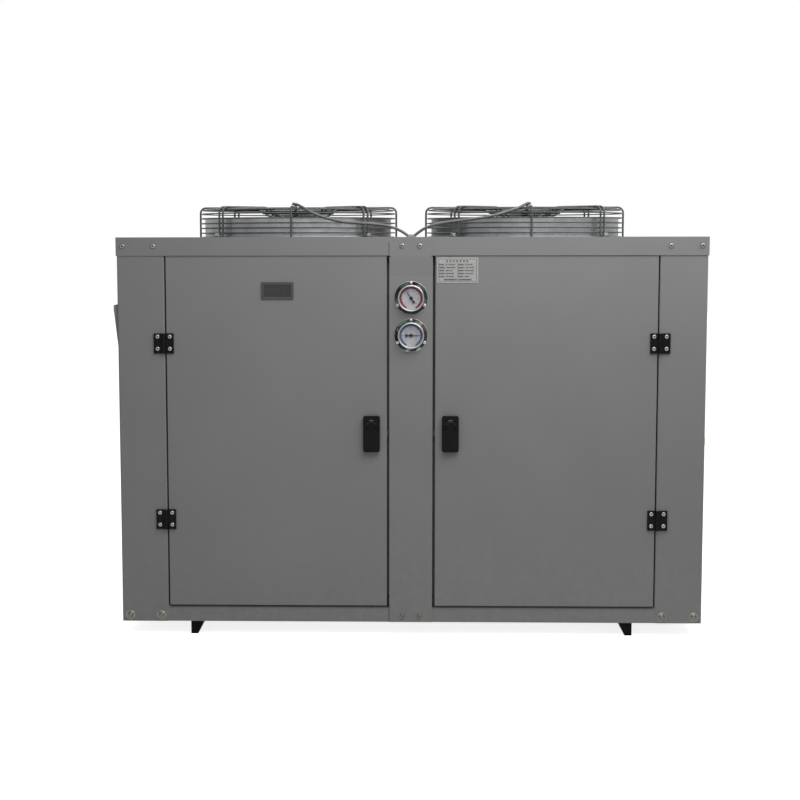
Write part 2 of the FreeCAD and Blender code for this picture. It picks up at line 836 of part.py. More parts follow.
def pipes():
    """Routes of the copper runs between the compressor, vessels, coil and valves."""
    gas_x, gas_y = headers()[2]
    comp_top = floor_z + grommet_foot_h + foot_t + comp_h + stub_l
    discharge = [(comp_x, comp_y, comp_top), (comp_x, comp_y, discharge_z), (gas_x, comp_y, discharge_z),
                 (gas_x, gas_y + header_r, discharge_z)]
    x, y, z = valve_centre(0)
    inlet = floor_z + ring_foot_h + accumulator_h + stub_l
    suction = [(x - valve_half[0] - stub_l, y, z), (accumulator_x, y, z), (accumulator_x, comp_y, z),
               (accumulator_x, comp_y, inlet)]
    x, y, z = valve_centre(1)
    low = floor_z + ring_foot_h + receiver_h + stub_l + drier_l
    liquid = [(receiver_x, receiver_y, low), (receiver_x, receiver_y, low + 60), (receiver_x, y, low + 60),
              (x, y, low + 60), (x, y, z + valve_half[2] + stub_l)]
    return discharge, suction, liquid


def electrical_box():
    """Control box behind the left door, with its cover."""
    x0 = box_x - box_w / 2
    low = box_low
    tray = box((x0, box_y, low), (x0 + box_w, box_y + box_d, low + box_h))
    room = box((x0 + 2, box_y + 4, low + 2), (x0 + box_w - 2, box_y + box_d - 2, low + box_h - 2))
    return tray.cut(room)


def box_supports():
    """Two upright channels from the tray's floor to the head rail, carrying the control box."""
    made = []
    for s in (-1, 1):
        x = box_x + s * (box_w / 2 - support_w)
        y = box_y + box_d
        points = [(x - support_w / 2, y), (x + support_w / 2, y), (x + support_w / 2, y + support_d)]
        made.append(folded(points, base_t, 1.0, "xy", floor_z, z_cover - floor_z))
    return made


def door_pan():
    """Right door: a pan with folded returns and lips, and a stiffening rib."""
    pan = box((door_in, y_front, door_low), (door_out, y_front + door_depth, door_high))
    front = [e for e in pan.Edges if abs(e.BoundBox.YMax - y_front) < 1e-6]
    pan = pan.makeFillet(door_bend, front)
    room = box((door_in + door_t, y_front + door_t, door_low + door_t),
               (door_out - door_t, y_front + door_depth - door_t, door_high - door_t))
    lip = door_lip
    mouth = box((door_in + lip, y_front + door_t, door_low + lip),
                (door_out - lip, y_front + door_depth + 1, door_high - lip))
    pan = pan.cut([room, mouth])
    middle = (door_in + door_out) / 2
    half = rib_w / 2
    y = y_front + door_t
    hat = [(middle - half - 12, y), (middle - half, y), (middle - half, y + rib_depth),
           (middle + half, y + rib_depth), (middle + half, y), (middle + half + 12, y)]
    rib = folded(hat[::-1], -door_t, 1.0, "xy", door_low + 15, door_high - door_low - 30)
    pan = pan.fuse(rib)
    hole = box((handle_x - housing_w / 2 - 0.2, y_front - 1, handle_z - housing_h / 2 - 0.2),
               (handle_x + housing_w / 2 + 0.2, y_front + door_t + 1, handle_z + housing_h / 2 + 0.2))
    exit_hole = bolt_bar(bolt_clear + 0.35, door_in - 10, door_in + 10)
    return pan.cut([hole, exit_hole])


def bolt_bar(grow, x0, x1):
    """The latch bolt's bar between two x positions, grown all round by a clearance."""
    y = y_front + 12
    low = handle_z - bolt_h / 2
    return box((x0, y - grow, low - grow), (x1, y + bolt_d + grow, low + bolt_h + grow))


def seal():
    """Seal round the right door's opening, on the stop flanges."""
    y0 = y_front + door_depth + seal_clear
    x0, x1 = centre_w / 2 + post_bend + 1, door_out
    z0, z1 = z_rail + 5, z_skirt - 2
    outer = box((x0, y0, z0), (x1, stop_y, z1))
    inner = box((x0 + seal_w, y0 - 1, z0 + seal_w), (x1 - seal_w, stop_y + 1, z1 - seal_w))
    return outer.cut(inner)


def hinge_leaf(z, moving):
    """One leaf of the right door's hinge: the door's or the post's."""
    sign = -1 if moving else 1
    near = 5.2
    half = leaf_h / 2
    low = z - half
    flat = [(pin_x + sign * near, pin_y + pin_out - leaf_t), (pin_x + sign * leaf_w, pin_y + pin_out - leaf_t),
            (pin_x + sign * leaf_w, y_front), (pin_x + sign * near, y_front)]
    leaf = plate(flat, "xy", low, leaf_h)
    spans = [(z - knuckle_h / 2 + 0.1, z + knuckle_h / 2 - 0.1)] if moving else [
        (low, z - knuckle_h / 2 - 0.1), (z + knuckle_h / 2 + 0.1, z + half)]
    pieces = []
    for a, b in spans:
        pieces.append(rod((pin_x, pin_y, a), knuckle_r, b - a, (0, 0, 1)))
        web = sorted([pin_x, pin_x + sign * (near + 1)])
        pieces.append(box((web[0], y_front - leaf_t, a), (web[1], y_front - 0.6, b)))
    leaf = leaf.fuse(pieces)
    bore = pin_r + (run_clear if moving else 0.0)
    return leaf.cut(rod((pin_x, pin_y, low - 1), bore, leaf_h + 2, (0, 0, 1)))


def hinge_pin(z):
    return rod((pin_x, pin_y, z - leaf_h / 2), pin_r, leaf_h, (0, 0, 1))


def paddle_axis():
    """Height and depth of the paddle's pin."""
    z = handle_z + latch_h / 2 - paddle_pin_down
    y = y_front - latch_plate - latch_thick / 2
    return y, z


def tongue_outline(grow):
    """The arched tongue at the top of the right paddle, as corners."""
    top = handle_z + latch_h / 2 - tongue_top + grow
    half = tongue_w / 2 + grow
    low = handle_z + latch_h / 2 - latch_frame_h - 2
    return [(handle_x - half, low), (handle_x + half, low), (handle_x + half, top, half - 0.05),
            (handle_x - half, top, half - 0.05)]


def latch_case():
    """Latch body in the right door: face plate, upper frame and the housing behind the skin."""
    half_w = latch_w / 2
    top = handle_z + latch_h / 2
    low = handle_z - latch_h / 2
    r = latch_corner
    back = [(handle_x - half_w, low, r), (handle_x + half_w, low, r), (handle_x + half_w, top, r),
            (handle_x - half_w, top, r)]
    base = plate(back, "xz", y_front - latch_plate, latch_plate)
    frame = [(handle_x - half_w, top - latch_frame_h), (handle_x + half_w, top - latch_frame_h),
             (handle_x + half_w, top, r), (handle_x - half_w, top, r)]
    cheek = plate(frame, "xz", y_front - latch_plate - latch_thick, latch_thick)
    housing = box((handle_x - housing_w / 2, y_front, handle_z - housing_h / 2),
                  (handle_x + housing_w / 2, y_front + door_depth - 2, handle_z + housing_h / 2))
    solid = base.fuse([cheek, housing])
    slot = plate(tongue_outline(paddle_clear), "xz", y_front - 30, 33)
    bar = bolt_bar(bolt_clear, handle_x - housing_w, handle_x + housing_w)
    y, z = paddle_axis()
    bore = rod((handle_x - half_w + 3, y, z), paddle_pin_r, latch_w - 6, (1, 0, 0))
    return solid.cut([slot, bar, bore])


def latch_pin():
    y, z = paddle_axis()
    return rod((handle_x - latch_w / 2 + 3, y, z), paddle_pin_r, latch_w - 6, (1, 0, 0))


def tongue_slope(y):
    """What is cut off the tongue's face towards its arched top."""
    top = handle_z + latch_h / 2 - tongue_top
    rise = tongue_slope_h / tongue_slope_d
    corners = [(y - 1, top - tongue_slope_h - rise), (y + tongue_slope_d + 1, top + rise),
               (y - 1, top + rise)]
    return plate(corners, "yz", handle_x - latch_w / 2, latch_w)


def paddle():
    """Rocking paddle of the right door: tongue above, full-width grip below."""
    half_w = latch_w / 2
    split = handle_z + latch_h / 2 - latch_frame_h - paddle_gap
    low = handle_z - latch_h / 2
    thick = latch_thick - 0.3
    y = y_front - latch_plate - latch_thick
    tongue = plate(tongue_outline(0.0), "xz", y, thick).cut(tongue_slope(y))
    grip = plate([(handle_x - half_w, low, 6), (handle_x + half_w, low, 6), (handle_x + half_w, split),
                  (handle_x - half_w, split)], "xz", y - paddle_proud, thick + paddle_proud)
    py, pz = paddle_axis()
    bore = rod((handle_x - half_w, py, pz), paddle_pin_r + run_clear, latch_w, (1, 0, 0))
    return tongue.fuse(grip).cut(bore)


def latch_bolt():
    """Sliding bolt of the right door, its nose in the gap beside the centre post."""
    return bolt_bar(0.0, door_in - bolt_out, handle_x + housing_w / 2 - 1)


def gauge_case(z):
    """Gauge case with its mounting flange and bezel, open in front of the dial."""
    back = y_front + gauge_back
    face = y_front - dial_out
    rim = y_front - gauge_flange_t - gauge_front
    seat = gauge_bezel_r - gauge_wall
    profile = [(0, back), (gauge_body_r, back), (gauge_body_r, y_front), (gauge_flange_r, y_front),
               (gauge_flange_r, y_front - gauge_flange_t), (gauge_bezel_r, y_front - gauge_flange_t),
               (gauge_bezel_r, rim + 2), (gauge_bezel_r - 2, rim), (gauge_bezel_r - gauge_lip, rim),
               (gauge_bezel_r - gauge_lip, rim + gauge_lip_t), (seat, rim + gauge_lip_t), (seat, face),
               (needle_pin_r, face), (needle_pin_r, face - needle_pin_l), (0, face - needle_pin_l)]
    return turned([(r, -y) for r, y in profile], (0, 0, z_base + z), (0, -1, 0))


def gauge_dial(z):
    face = y_front - dial_out
    disc = rod((0, face, z_base + z), gauge_bezel_r - gauge_wall - 0.1, dial_t, (0, -1, 0))
    return disc.cut(rod((0, face + 1, z_base + z), needle_pin_r + 0.2, 4, (0, -1, 0)))


def gauge_lens(z):
    rim = y_front - gauge_flange_t - gauge_front
    return rod((0, rim + gauge_lip_t, z_base + z), gauge_bezel_r - gauge_wall - 0.1, lens_t, (0, 1, 0))


def gauge_needle(z, degrees):
    """Pointer with its counterweight, turned clockwise from upright by degrees."""
    y = y_front - dial_out - dial_t - 2.6
    blade = [(-1.4, -needle_tail), (1.4, -needle_tail), (0.5, needle_len), (-0.5, needle_len)]
    blade = plate(blade, "xz", y, 0.8)
    hub = rod((0, y - 0.7, 0), 4.0, 2.2, (0, 1, 0))
    weight = rod((0, y, -needle_tail), 3.2, 0.8, (0, 1, 0))
    pointer = blade.fuse([hub, weight]).removeSplitter()
    pointer = pointer.cut(rod((0, y - 3, 0), needle_pin_r + run_clear, 6, (0, 1, 0)))
    pointer.rotate(V(0, 0, 0), V(0, 1, 0), degrees)
    pointer.translate(V(0, 0, z_base + z))
    return pointer


def window_bezel():
    """Frame of the controller window on the left door."""
    z = z_base + window_z
    hw, hh = window_w / 2, window_h / 2
    outer = [(window_x - hw, z - hh, 3), (window_x + hw, z - hh, 3), (window_x + hw, z + hh, 3),
             (window_x - hw, z + hh, 3)]
    frame = plate(outer, "xz", y_front - window_out, window_out)
    hw, hh = hw - window_frame, hh - window_frame
    hole = box((window_x - hw, y_front - window_out - 1, z - hh), (window_x + hw, y_front + 1, z + hh))
    return frame.cut(hole)


def window_screen():
    """Dark screen inside the controller window's frame."""
    z = z_base + window_z
    hw, hh = window_w / 2 - window_frame, window_h / 2 - window_frame
    return box((window_x - hw, y_front - 1.2, z - hh), (window_x + hw, y_front, z + hh))


def nameplate():
    z = z_base + plate_z
    hw, hh = plate_w / 2, plate_h / 2
    corners = [(plate_x - hw, z - hh, 2), (plate_x + hw, z - hh, 2), (plate_x + hw, z + hh, 2),
               (plate_x - hw, z + hh, 2)]
    return plate(corners, "xz", y_front - plate_t, plate_t)


def side_grip():
    """Moulded grip on the left side, widest at the top and open there."""
    top = z_base + grip_top
    low = top - grip_h
    y = y_front + grip_back
    wedge = plate([(-x_out, low), (-x_out, top), (-x_out - grip_out, top), (-x_out - grip_out, top - 12, 6)],
                  "xz", y, grip_w)
    pocket = plate([(-x_out - 1, low + 30), (-x_out - 1, top + 1), (-x_out - grip_out + grip_wall, top + 1),
                    (-x_out - grip_out + grip_wall, top - 12)], "xz", y + grip_wall, grip_w - 2 * grip_wall)
    return wedge.cut(pocket)


def save_cabinet():
    """Frame, posts, cover and what is bolted to them."""
    save("base_tray", base_tray())
    rail = skid_rail()
    save("skid_rails", rail, mirrored(rail))
    post = front_post()
    save("front_post_left", mirrored(post))
    save("front_post_right", post.cut(ports_in_post()))
    post = rear_post()
    save("rear_post_left", mirrored(post))
    save("rear_post_right", post)
    save("centre_post", *centre_post())
    save("head_rail", head_rail())
    save("sill_rail", sill_rail())
    save("top_cover", top_cover())
    save("base_bolts", *base_bolts())
    strip = seal()
    save("door_seals", strip, mirrored(strip))
    save("side_grip", side_grip())


def save_fans():
    """Shrouds, guards, motors, impellers and leads."""
    save("fan_shrouds", shroud(-1), shroud(1))
    save("fan_guard_left", fan_guard(-1))
    save("fan_guard_right", fan_guard(1))
    save("fan_motors", fan_motor(-1), fan_motor(1))
    save("lead_glands", motor_gland(-1), motor_gland(1), lead_grommet())
    save("impeller_left", impeller(-1, 12.0))
    save("impeller_right", impeller(1, 40.0))
    for name, side in (("fan_lead_left", -1), ("fan_lead_right", 1)):
        lead, radii, length, area = tube(lead_route(side), lead_r, sides=lead_sides)
        ratio = round(lead.Volume / length / area, 4)
        print(name, "radii", radii, "length", round(length, 1), "volume ratio", ratio)
        save(name, lead)


def save_refrigeration():
    """Coil, compressor, vessels, valves and pipes."""
    save("condenser_coil", *coil())
    gas, liquid, place = headers()
    save("coil_headers", gas, liquid)
    save("compressor", compressor())
    save("compressor_mounts", *compressor_mounts())
    save("terminal_box", terminal_box())
    save("liquid_receiver", receiver())
    save("suction_accumulator", accumulator())
    save("service_valves", *service_valves())
    discharge, suction, liquid = pipes()
    save("discharge_pipe", tube(discharge, discharge_r, 3 * discharge_r)[0])
    start = accumulator_x + accumulator_r + stub_l
    joint = rod((start, comp_y, suction_z()), suction_r, comp_x - comp_r - stub_l - start, (1, 0, 0))
    save("suction_pipe", tube(suction, suction_r, 3 * suction_r)[0], joint)
    start = receiver_x + receiver_r + stub_l
    joint = rod((start, receiver_y, receiver_in_z), liquid_r, place[0] - header_r + 4 - start, (1, 0, 0))
    save("liquid_pipe", tube(liquid, liquid_r, 3 * liquid_r)[0], joint)
    save("filter_drier", drier())
    save("electrical_box", electrical_box())
    save("box_supports", *box_supports())


def save_doors():
    """Doors, hinges, latches, window and plate."""
    pan = door_pan()
    save("right_door", pan)
    save("left_door", mirrored(pan))
    heights = [z_base + hinge_high, z_base + hinge_low]
    fixed = [hinge_leaf(z, False) for z in heights]
    save("hinge_frame_leaves", *(fixed + [mirrored(leaf) for leaf in fixed]))
    moving = [hinge_leaf(z, True) for z in heights]
    save("right_hinge_leaves", *moving)
    save("left_hinge_leaves", *[mirrored(leaf) for leaf in moving])
    pins = [hinge_pin(z) for z in heights]
    save("hinge_pins", *(pins + [mirrored(pin) for pin in pins]))
    for name, piece in (("latch_case", latch_case()), ("latch_pin", latch_pin()), ("paddle", paddle()),
                        ("latch_bolt", latch_bolt())):
        save("right_" + name, piece)
        save("left_" + name, mirrored(piece))
    save("controller_bezel", window_bezel())
    save("controller_screen", window_screen())
    save("nameplate", nameplate())


def save_gauges():
    """The two pressure gauges on the centre post."""
    heights = (gauge_high_z, gauge_low_z)
    save("gauge_cases", *[gauge_case(z) for z in heights])
    save("gauge_dials", *[gauge_dial(z) for z in heights])
    save("gauge_lenses", *[gauge_lens(z) for z in heights])
    save("gauge_needle_high", gauge_needle(gauge_high_z, needle_high_deg))
    save("gauge_needle_low", gauge_needle(gauge_low_z, needle_low_deg))


os.makedirs("parts", exist_ok=True)
save_cabinet()
save_fans()
save_refrigeration()
save_doors()
save_gauges()
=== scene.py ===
import bpy
import bmesh
import math
import random
from mathutils import Matrix, Vector


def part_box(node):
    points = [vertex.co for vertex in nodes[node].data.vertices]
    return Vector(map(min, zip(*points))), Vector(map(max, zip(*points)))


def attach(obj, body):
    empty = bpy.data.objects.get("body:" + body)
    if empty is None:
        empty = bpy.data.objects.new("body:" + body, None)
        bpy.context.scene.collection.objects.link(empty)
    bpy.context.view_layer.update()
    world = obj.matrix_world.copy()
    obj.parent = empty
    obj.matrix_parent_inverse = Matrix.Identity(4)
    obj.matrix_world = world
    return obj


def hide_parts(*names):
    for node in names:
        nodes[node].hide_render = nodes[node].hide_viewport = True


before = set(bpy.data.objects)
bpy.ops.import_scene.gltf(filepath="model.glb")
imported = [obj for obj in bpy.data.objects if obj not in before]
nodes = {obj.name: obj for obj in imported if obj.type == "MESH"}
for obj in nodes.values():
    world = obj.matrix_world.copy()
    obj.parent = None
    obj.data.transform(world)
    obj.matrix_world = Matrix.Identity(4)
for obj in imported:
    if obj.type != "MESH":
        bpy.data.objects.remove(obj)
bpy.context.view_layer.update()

# Sizes in millimetres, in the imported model's frame
MM = 0.001
Z_BASE = 32.0
Z_TOP = 960.0
Y_FRONT = -400.0
SKIRT_Y = Y_FRONT - 2.0
LEAF_Y = Y_FRONT - 4.0
FAN_X = 294.7
GUARD_H = 78.0
GUARD_R = 258.5
GUARD_BEND = 14.0
ROD_R = 2.5
RING_R = 1.6
HOOP_HEIGHTS = (10.5, 22.8, 35.1, 47.4, 59.4)
TOP_HOOP_R = 236.0
PLATE_R = 66.0
PLATE_Z = 1010.0
GLAND_Z = 1019.0
GLAND_Y = -32.0
LEAD_R = 3.5
GROMMET_Y = -265.0
GROMMET_NEAR = 8.0
LEAD_SLOPE = math.radians(40)
GAUGE_Z = {"high": 815.8, "low": 727.4}
DIAL_Y = Y_FRONT - 4.8
DIAL_SWEEP = 135.0
HINGE_Z = (708.0, 283.0)
HINGE_X = 589.8
HANDLE_X = 94.0
HANDLE_Z = 491.5
COIL_SIDE = 683.9
COIL_REAR = 383.9
COIL_FRONT = -326.0
COIL_BEND = 90.0
COIL_T = 66.0
COIL_LOW = 34.0
COIL_HIGH = 955.0
FIN_PITCH = 3.2
FIN_HALF = 0.15
FIN_EDGE = 1.5
FIN_STRAY = 0.3
TUBE_PITCH = 25.4
BEND_R = 4.8
BEND_INSETS = (11.0, 33.0, 55.0)
SHEET_T = 2.0
COMP_X = 250.0
COMP_Y = 60.0
Z_RAIL = 69.0
Z_SKIRT = 916.0
DOOR_GAP = 3.0
STRIP_X = 51.5
DOOR_IN = 57.5
DOOR_OUT = 584.0
STRIP_TOP = 948.0
BOLT_Z = 47.0
BOLT_X = (605.0, 681.0)
SIDES = {-1: "left", 1: "right"}


# Materials
def new_material(name):
    """A material with its node tree and its shader."""
    mat = bpy.data.materials.new(name)
    mat.use_nodes = True
    return mat, mat.node_tree, mat.node_tree.nodes["Principled BSDF"]


def feed(tree, made, **inputs):
    """Gives a node's inputs, by name or as n and a number, a value or another node's socket."""
    for key, value in inputs.items():
        socket = made.inputs[int(key[1:]) if key[1:].isdigit() else key.replace("_", " ")]
        if isinstance(value, bpy.types.NodeSocket):
            tree.links.new(value, socket)
        else:
            socket.default_value = value


def node(tree, kind, settings=None, **inputs):
    """Adds a node with its settings and inputs."""
    made = tree.nodes.new(kind)
    for key, value in (settings or {}).items():
        setattr(made, key, value)
    feed(tree, made, **inputs)
    return made


def maths(tree, operation, *values):
    """The outcome of a calculation on values or sockets."""
    inputs = {"n" + str(k): value for k, value in enumerate(values)}
    return node(tree, "ShaderNodeMath", {"operation": operation}, **inputs).outputs[0]


def coords(tree, scale=None):
    """Object coordinates in metres, stretched by scale."""
    plain = node(tree, "ShaderNodeTexCoord").outputs["Object"]
    return node(tree, "ShaderNodeMapping", Vector=plain, Scale=scale).outputs["Vector"] if scale else plain


def level(tree):
    """Height in metres."""
    return node(tree, "ShaderNodeSeparateXYZ", n0=coords(tree)).outputs["Z"]


def noise(tree, scale, detail=3.0, rough=0.5, stretch=(1, 1, 1)):
    """Noise of that many features per metre."""
    made = node(tree, "ShaderNodeTexNoise", Vector=coords(tree, stretch), Scale=scale, Detail=detail,
                Roughness=rough)
    return made.outputs["Fac"]


def ramp(tree, source, stops):
    """Maps a value to colours or greys, stops as (position, colour)."""
    made = node(tree, "ShaderNodeValToRGB", Fac=source)
    band = made.color_ramp
    while len(band.elements) < len(stops):
        band.elements.new(0.5)
    for element, (position, colour) in zip(band.elements, stops):
        element.position = position
        grey = (colour, colour, colour) if isinstance(colour, float) else colour
        element.color = (*grey, 1.0)
    return made.outputs["Color"]


def mix(tree, factor, a, b, mode="MIX"):
    """Mixes two colours or sockets by a factor or socket."""
    a, b = (c if isinstance(c, bpy.types.NodeSocket) else (*c, 1.0) for c in (a, b))
    made = node(tree, "ShaderNodeMix", {"data_type": "RGBA", "blend_type": mode}, n0=factor, n6=a, n7=b)
    return made.outputs[2]


def bump(tree, shader, height, strength, depth):
    """Bumps the surface by a height, its depth in metres."""
    made = node(tree, "ShaderNodeBump", Height=height, Strength=strength, Distance=depth)
    feed(tree, shader, Normal=made.outputs["Normal"])


def shade(colour, by):
    """A colour made brighter or darker."""
    return tuple(min(1.0, c * by) for c in colour)


DUST_TONE = (0.33, 0.31, 0.28)
SCUFF_AT = (-0.090, -0.4, 0.135)
SCUFF_TONE = (0.095, 0.095, 0.095)


def coated(name, colour, rough, grain=700.0, depth=0.00006, cloud=9.0, spread=0.06, metal=0.0, dust=0.0,
           stretch=(1, 1, 1), marks=None, shine=0.5):
    """A coated or bare surface: clouded colour, uneven gloss, a fine grain and dust that thins upwards."""
    mat, tree, shader = new_material(name)
    clouds = noise(tree, cloud, 4.0, 0.55, stretch)
    base = ramp(tree, clouds, [(0.3, shade(colour, 1 - spread)), (0.7, shade(colour, 1 + spread))])
    if dust:
        low = ramp(tree, level(tree), [(0.03, dust), (0.35, 0.0)])
        spots = ramp(tree, noise(tree, 45.0, 6.0, 0.7), [(0.45, 0.0), (0.75, 1.0)])
        base = mix(tree, mix(tree, 1.0, low, spots, "MULTIPLY"), base, DUST_TONE)
    if marks:
        base = marks(tree, base)
    patches = noise(tree, 22.0, 5.0, 0.65, stretch)
    gloss = ramp(tree, patches, [(0.25, max(0.04, rough - 0.07)), (0.75, rough + 0.09)])
    feed(tree, shader, Base_Color=base, Roughness=gloss, Metallic=metal, Specular_IOR_Level=shine)
    if depth:
        bump(tree, shader, noise(tree, grain, 2.0, 0.5, stretch), 0.5, depth)
    return mat


def scuffs(tree, base):
    """Faint dark rub marks in a half ring low on the left door."""
    away = node(tree, "ShaderNodeVectorMath", {"operation": "DISTANCE"}, n0=coords(tree), n1=SCUFF_AT)
    wander = maths(tree, "MULTIPLY_ADD", noise(tree, 24.0, 3.0), 0.030, away.outputs["Value"])
    ring = ramp(tree, wander, [(0.034, 0.0), (0.037, 1.0), (0.040, 0.0)])
    gaps = ramp(tree, noise(tree, 45.0, 4.0, 0.7), [(0.48, 0.0), (0.58, 1.0)])
    patch = mix(tree, 1.0, ring, gaps, "MULTIPLY")
    faint = mix(tree, 1.0, patch, (0.65, 0.65, 0.65), "MULTIPLY")
    return mix(tree, faint, base, SCUFF_TONE)


def tints(tree, base):
    """Painted reflections: patches of green, brown and pale grey that stand in for what polished steel
    reflects of its surroundings.
    """
    green, brown, pale = (0.08, 0.135, 0.115), (0.16, 0.095, 0.08), (0.30, 0.30, 0.30)
    for layer, colour, scale in ((0.0, green, 27.0), (3.7, brown, 31.0), (8.1, pale, 36.0)):
        made = node(tree, "ShaderNodeTexNoise", {"noise_dimensions": "4D"}, Vector=coords(tree), W=layer,
                    Scale=scale, Detail=1.0)
        base = mix(tree, ramp(tree, made.outputs["Fac"], [(0.54, 0.0), (0.65, 1.0)]), base, colour)
    return base


def zinc(name, colour, rough, spread):
    """Zinc-plated steel with a very fine grain."""
    return coated(name, colour, rough, 1500.0, 0.00002, 120.0, spread, metal=1.0)


def rubber(name, colour, rough, spread):
    """Dull rubber."""
    return coated(name, colour, rough, 900.0, 0.0001, 60.0, spread, shine=0.3)


def polished(name, colour, rough, spread, cloud=26.0, marks=None):
    """Polished steel without any grain."""
    return coated(name, colour, rough, metal=1.0, depth=0.0, cloud=cloud, spread=spread, marks=marks)


def printed(name, colour, rough=0.5, cloud=200.0, spread=0.1):
    """Flat ink or enamel without any grain."""
    return coated(name, colour, rough, depth=0.0, cloud=cloud, spread=spread, shine=0.2)


# Colour, roughness, grain per metre and its depth in metres, clouds per metre and their contrast
GREY = (0.146, 0.149, 0.146)
PAINT = coated("grey_powder_coat", GREY, 0.5, 900.0, 0.00005, 5.0, 0.03, dust=0.16, shine=0.18)
DOOR_PAINT = coated("grey_door_coat", GREY, 0.5, 900.0, 0.00005, 4.0, 0.03, dust=0.10, marks=scuffs,
                    shine=0.18)
BLACK = coated("black_casting", (0.0045, 0.0045, 0.005), 0.45, 1300.0, 0.00005, 60.0, 0.2, shine=0.07)
BLACK_PAINT = coated("black_enamel", (0.012, 0.012, 0.013), 0.35, 300.0, 0.00008, 15.0, 0.2, dust=0.3,
                     shine=0.3)
SKID = coated("black_skid_paint", (0.003, 0.003, 0.003), 0.55, 500.0, 0.0001, 30.0, 0.3, dust=0.01,
              shine=0.04)
WIRE = coated("guard_wire_coat", (0.060, 0.063, 0.064), 0.38, 400.0, 0.00005, 25.0, 0.25, metal=0.2,
              shine=0.3)
ZINC = zinc("bright_zinc", (0.27, 0.265, 0.255), 0.36, 0.12)
STAIN = coated("washer_zinc", (0.19, 0.19, 0.18), 0.34, 1200.0, 0.00004, 150.0, 0.3, metal=0.8)
# Painted highlight: pale grey for the lit slope on the paddles' tongues
TONGUE_HIGHLIGHT = coated("tongue_painted_highlight", (0.17, 0.17, 0.168), 0.35, 1300.0, 0.00003, 200.0, 0.2)
OLIVE = coated("aged_bolt_zinc", (0.115, 0.110, 0.088), 0.2, 900.0, 0.00004, 150.0, 0.3, metal=0.9)
BRIGHT = zinc("new_zinc", (0.50, 0.49, 0.48), 0.3, 0.1)
AGED = zinc("aged_screw_zinc", (0.21, 0.207, 0.195), 0.34, 0.2)
GREY_RUBBER = rubber("grey_rubber", (0.22, 0.22, 0.22), 0.6, 0.1)
# Painted shade: near-black steel so the latch bolts and pins stay dark in the door gaps
LATCH_SHADE_STEEL = coated("dark_steel", (0.10, 0.10, 0.10), 0.4, 900.0, 0.00004, 90.0, 0.2, metal=0.8)
# Painted shade: near black for the inside of the screws' cross recesses
RECESS_SHADE = coated("screw_recess_painted_shade", (0.03, 0.028, 0.026), 0.6, metal=0.4, grain=900.0, cloud=200.0, spread=0.3)
CHROME = polished("chrome_bezel", (0.33, 0.32, 0.315), 0.16, 0.12, cloud=40.0)
# Painted reflection: a dark, patchy colour with tinted patches, for what the polished flange reflects
FLANGE = polished("polished_flange_painted_reflection", (0.024, 0.026, 0.025), 0.25, 0.9, marks=tints)
# Painted highlight: a pale rim that reads as the lit edge of the dark flange
RIM_HIGHLIGHT = polished("flange_rim_painted_highlight", (0.34, 0.34, 0.34), 0.3, 0.4)
RUBBER = rubber("black_rubber", (0.012, 0.012, 0.012), 0.7, 0.2)
SHEATH = coated("lead_sheath", (0.060, 0.059, 0.058), 0.33, 600.0, 0.00004, 50.0, 0.2)
SEAL = rubber("grey_seal_rubber", (0.12, 0.12, 0.122), 0.7, 0.15)
MOULD = coated("black_moulding", (0.014, 0.014, 0.015), 0.45, 1200.0, 0.00005, 80.0, 0.2, shine=0.3)
BEZEL = coated("dark_grey_moulding", (0.045, 0.045, 0.046), 0.5, 1200.0, 0.00005, 60.0, 0.12, shine=0.25)
SCREEN = coated("display_window", (0.016, 0.016, 0.017), 0.16, depth=0.0, cloud=90.0, spread=0.25, shine=0.4)
GRIP = coated("grey_grip_moulding", (0.150, 0.152, 0.150), 0.5, 900.0, 0.00005, 30.0, 0.08, dust=0.05,
              shine=0.25)
FINS = coated("fin_aluminium", (0.50, 0.515, 0.52), 0.42, metal=0.85, depth=0.0, cloud=7.0, spread=0.07,
              dust=0.15)
COPPER = coated("copper_tube", (0.72, 0.34, 0.20), 0.30, 200.0, 0.00004, 22.0, 0.18, metal=1.0)
BRASS = coated("brass_forging", (0.62, 0.45, 0.18), 0.36, 700.0, 0.00006, 60.0, 0.12, metal=1.0)
VESSEL = coated("black_vessel_paint", (0.016, 0.016, 0.018), 0.32, 260.0, 0.0001, 14.0, 0.2)
BLUE = coated("blue_drier_paint", (0.015, 0.05, 0.22), 0.30, 500.0, 0.00005, 40.0, 0.12)
CABINET = coated("light_box_paint", (0.45, 0.46, 0.45), 0.42, 900.0, 0.00004, 9.0, 0.04)
ROTOR = coated("black_rotor_paint", (0.016, 0.016, 0.017), 0.42, 500.0, 0.00008, 20.0, 0.25, shine=0.3)
WHITE = printed("dial_white", (0.61, 0.61, 0.645), spread=0.01)
INK = printed("printed_black", (0.012, 0.012, 0.013), 0.55)
RED = printed("dial_red", (0.29, 0.045, 0.048))
BLUE_INK = printed("dial_blue", (0.07, 0.155, 0.29))
PLATE = coated("plate_aluminium", (0.27, 0.27, 0.265), 0.42, 600.0, 0.00002, 30.0, 0.06, metal=0.25,
               stretch=(8, 1, 1), shine=0.3)
RULES = printed("plate_print", (0.035, 0.035, 0.036), 0.55, cloud=150.0, spread=0.15)


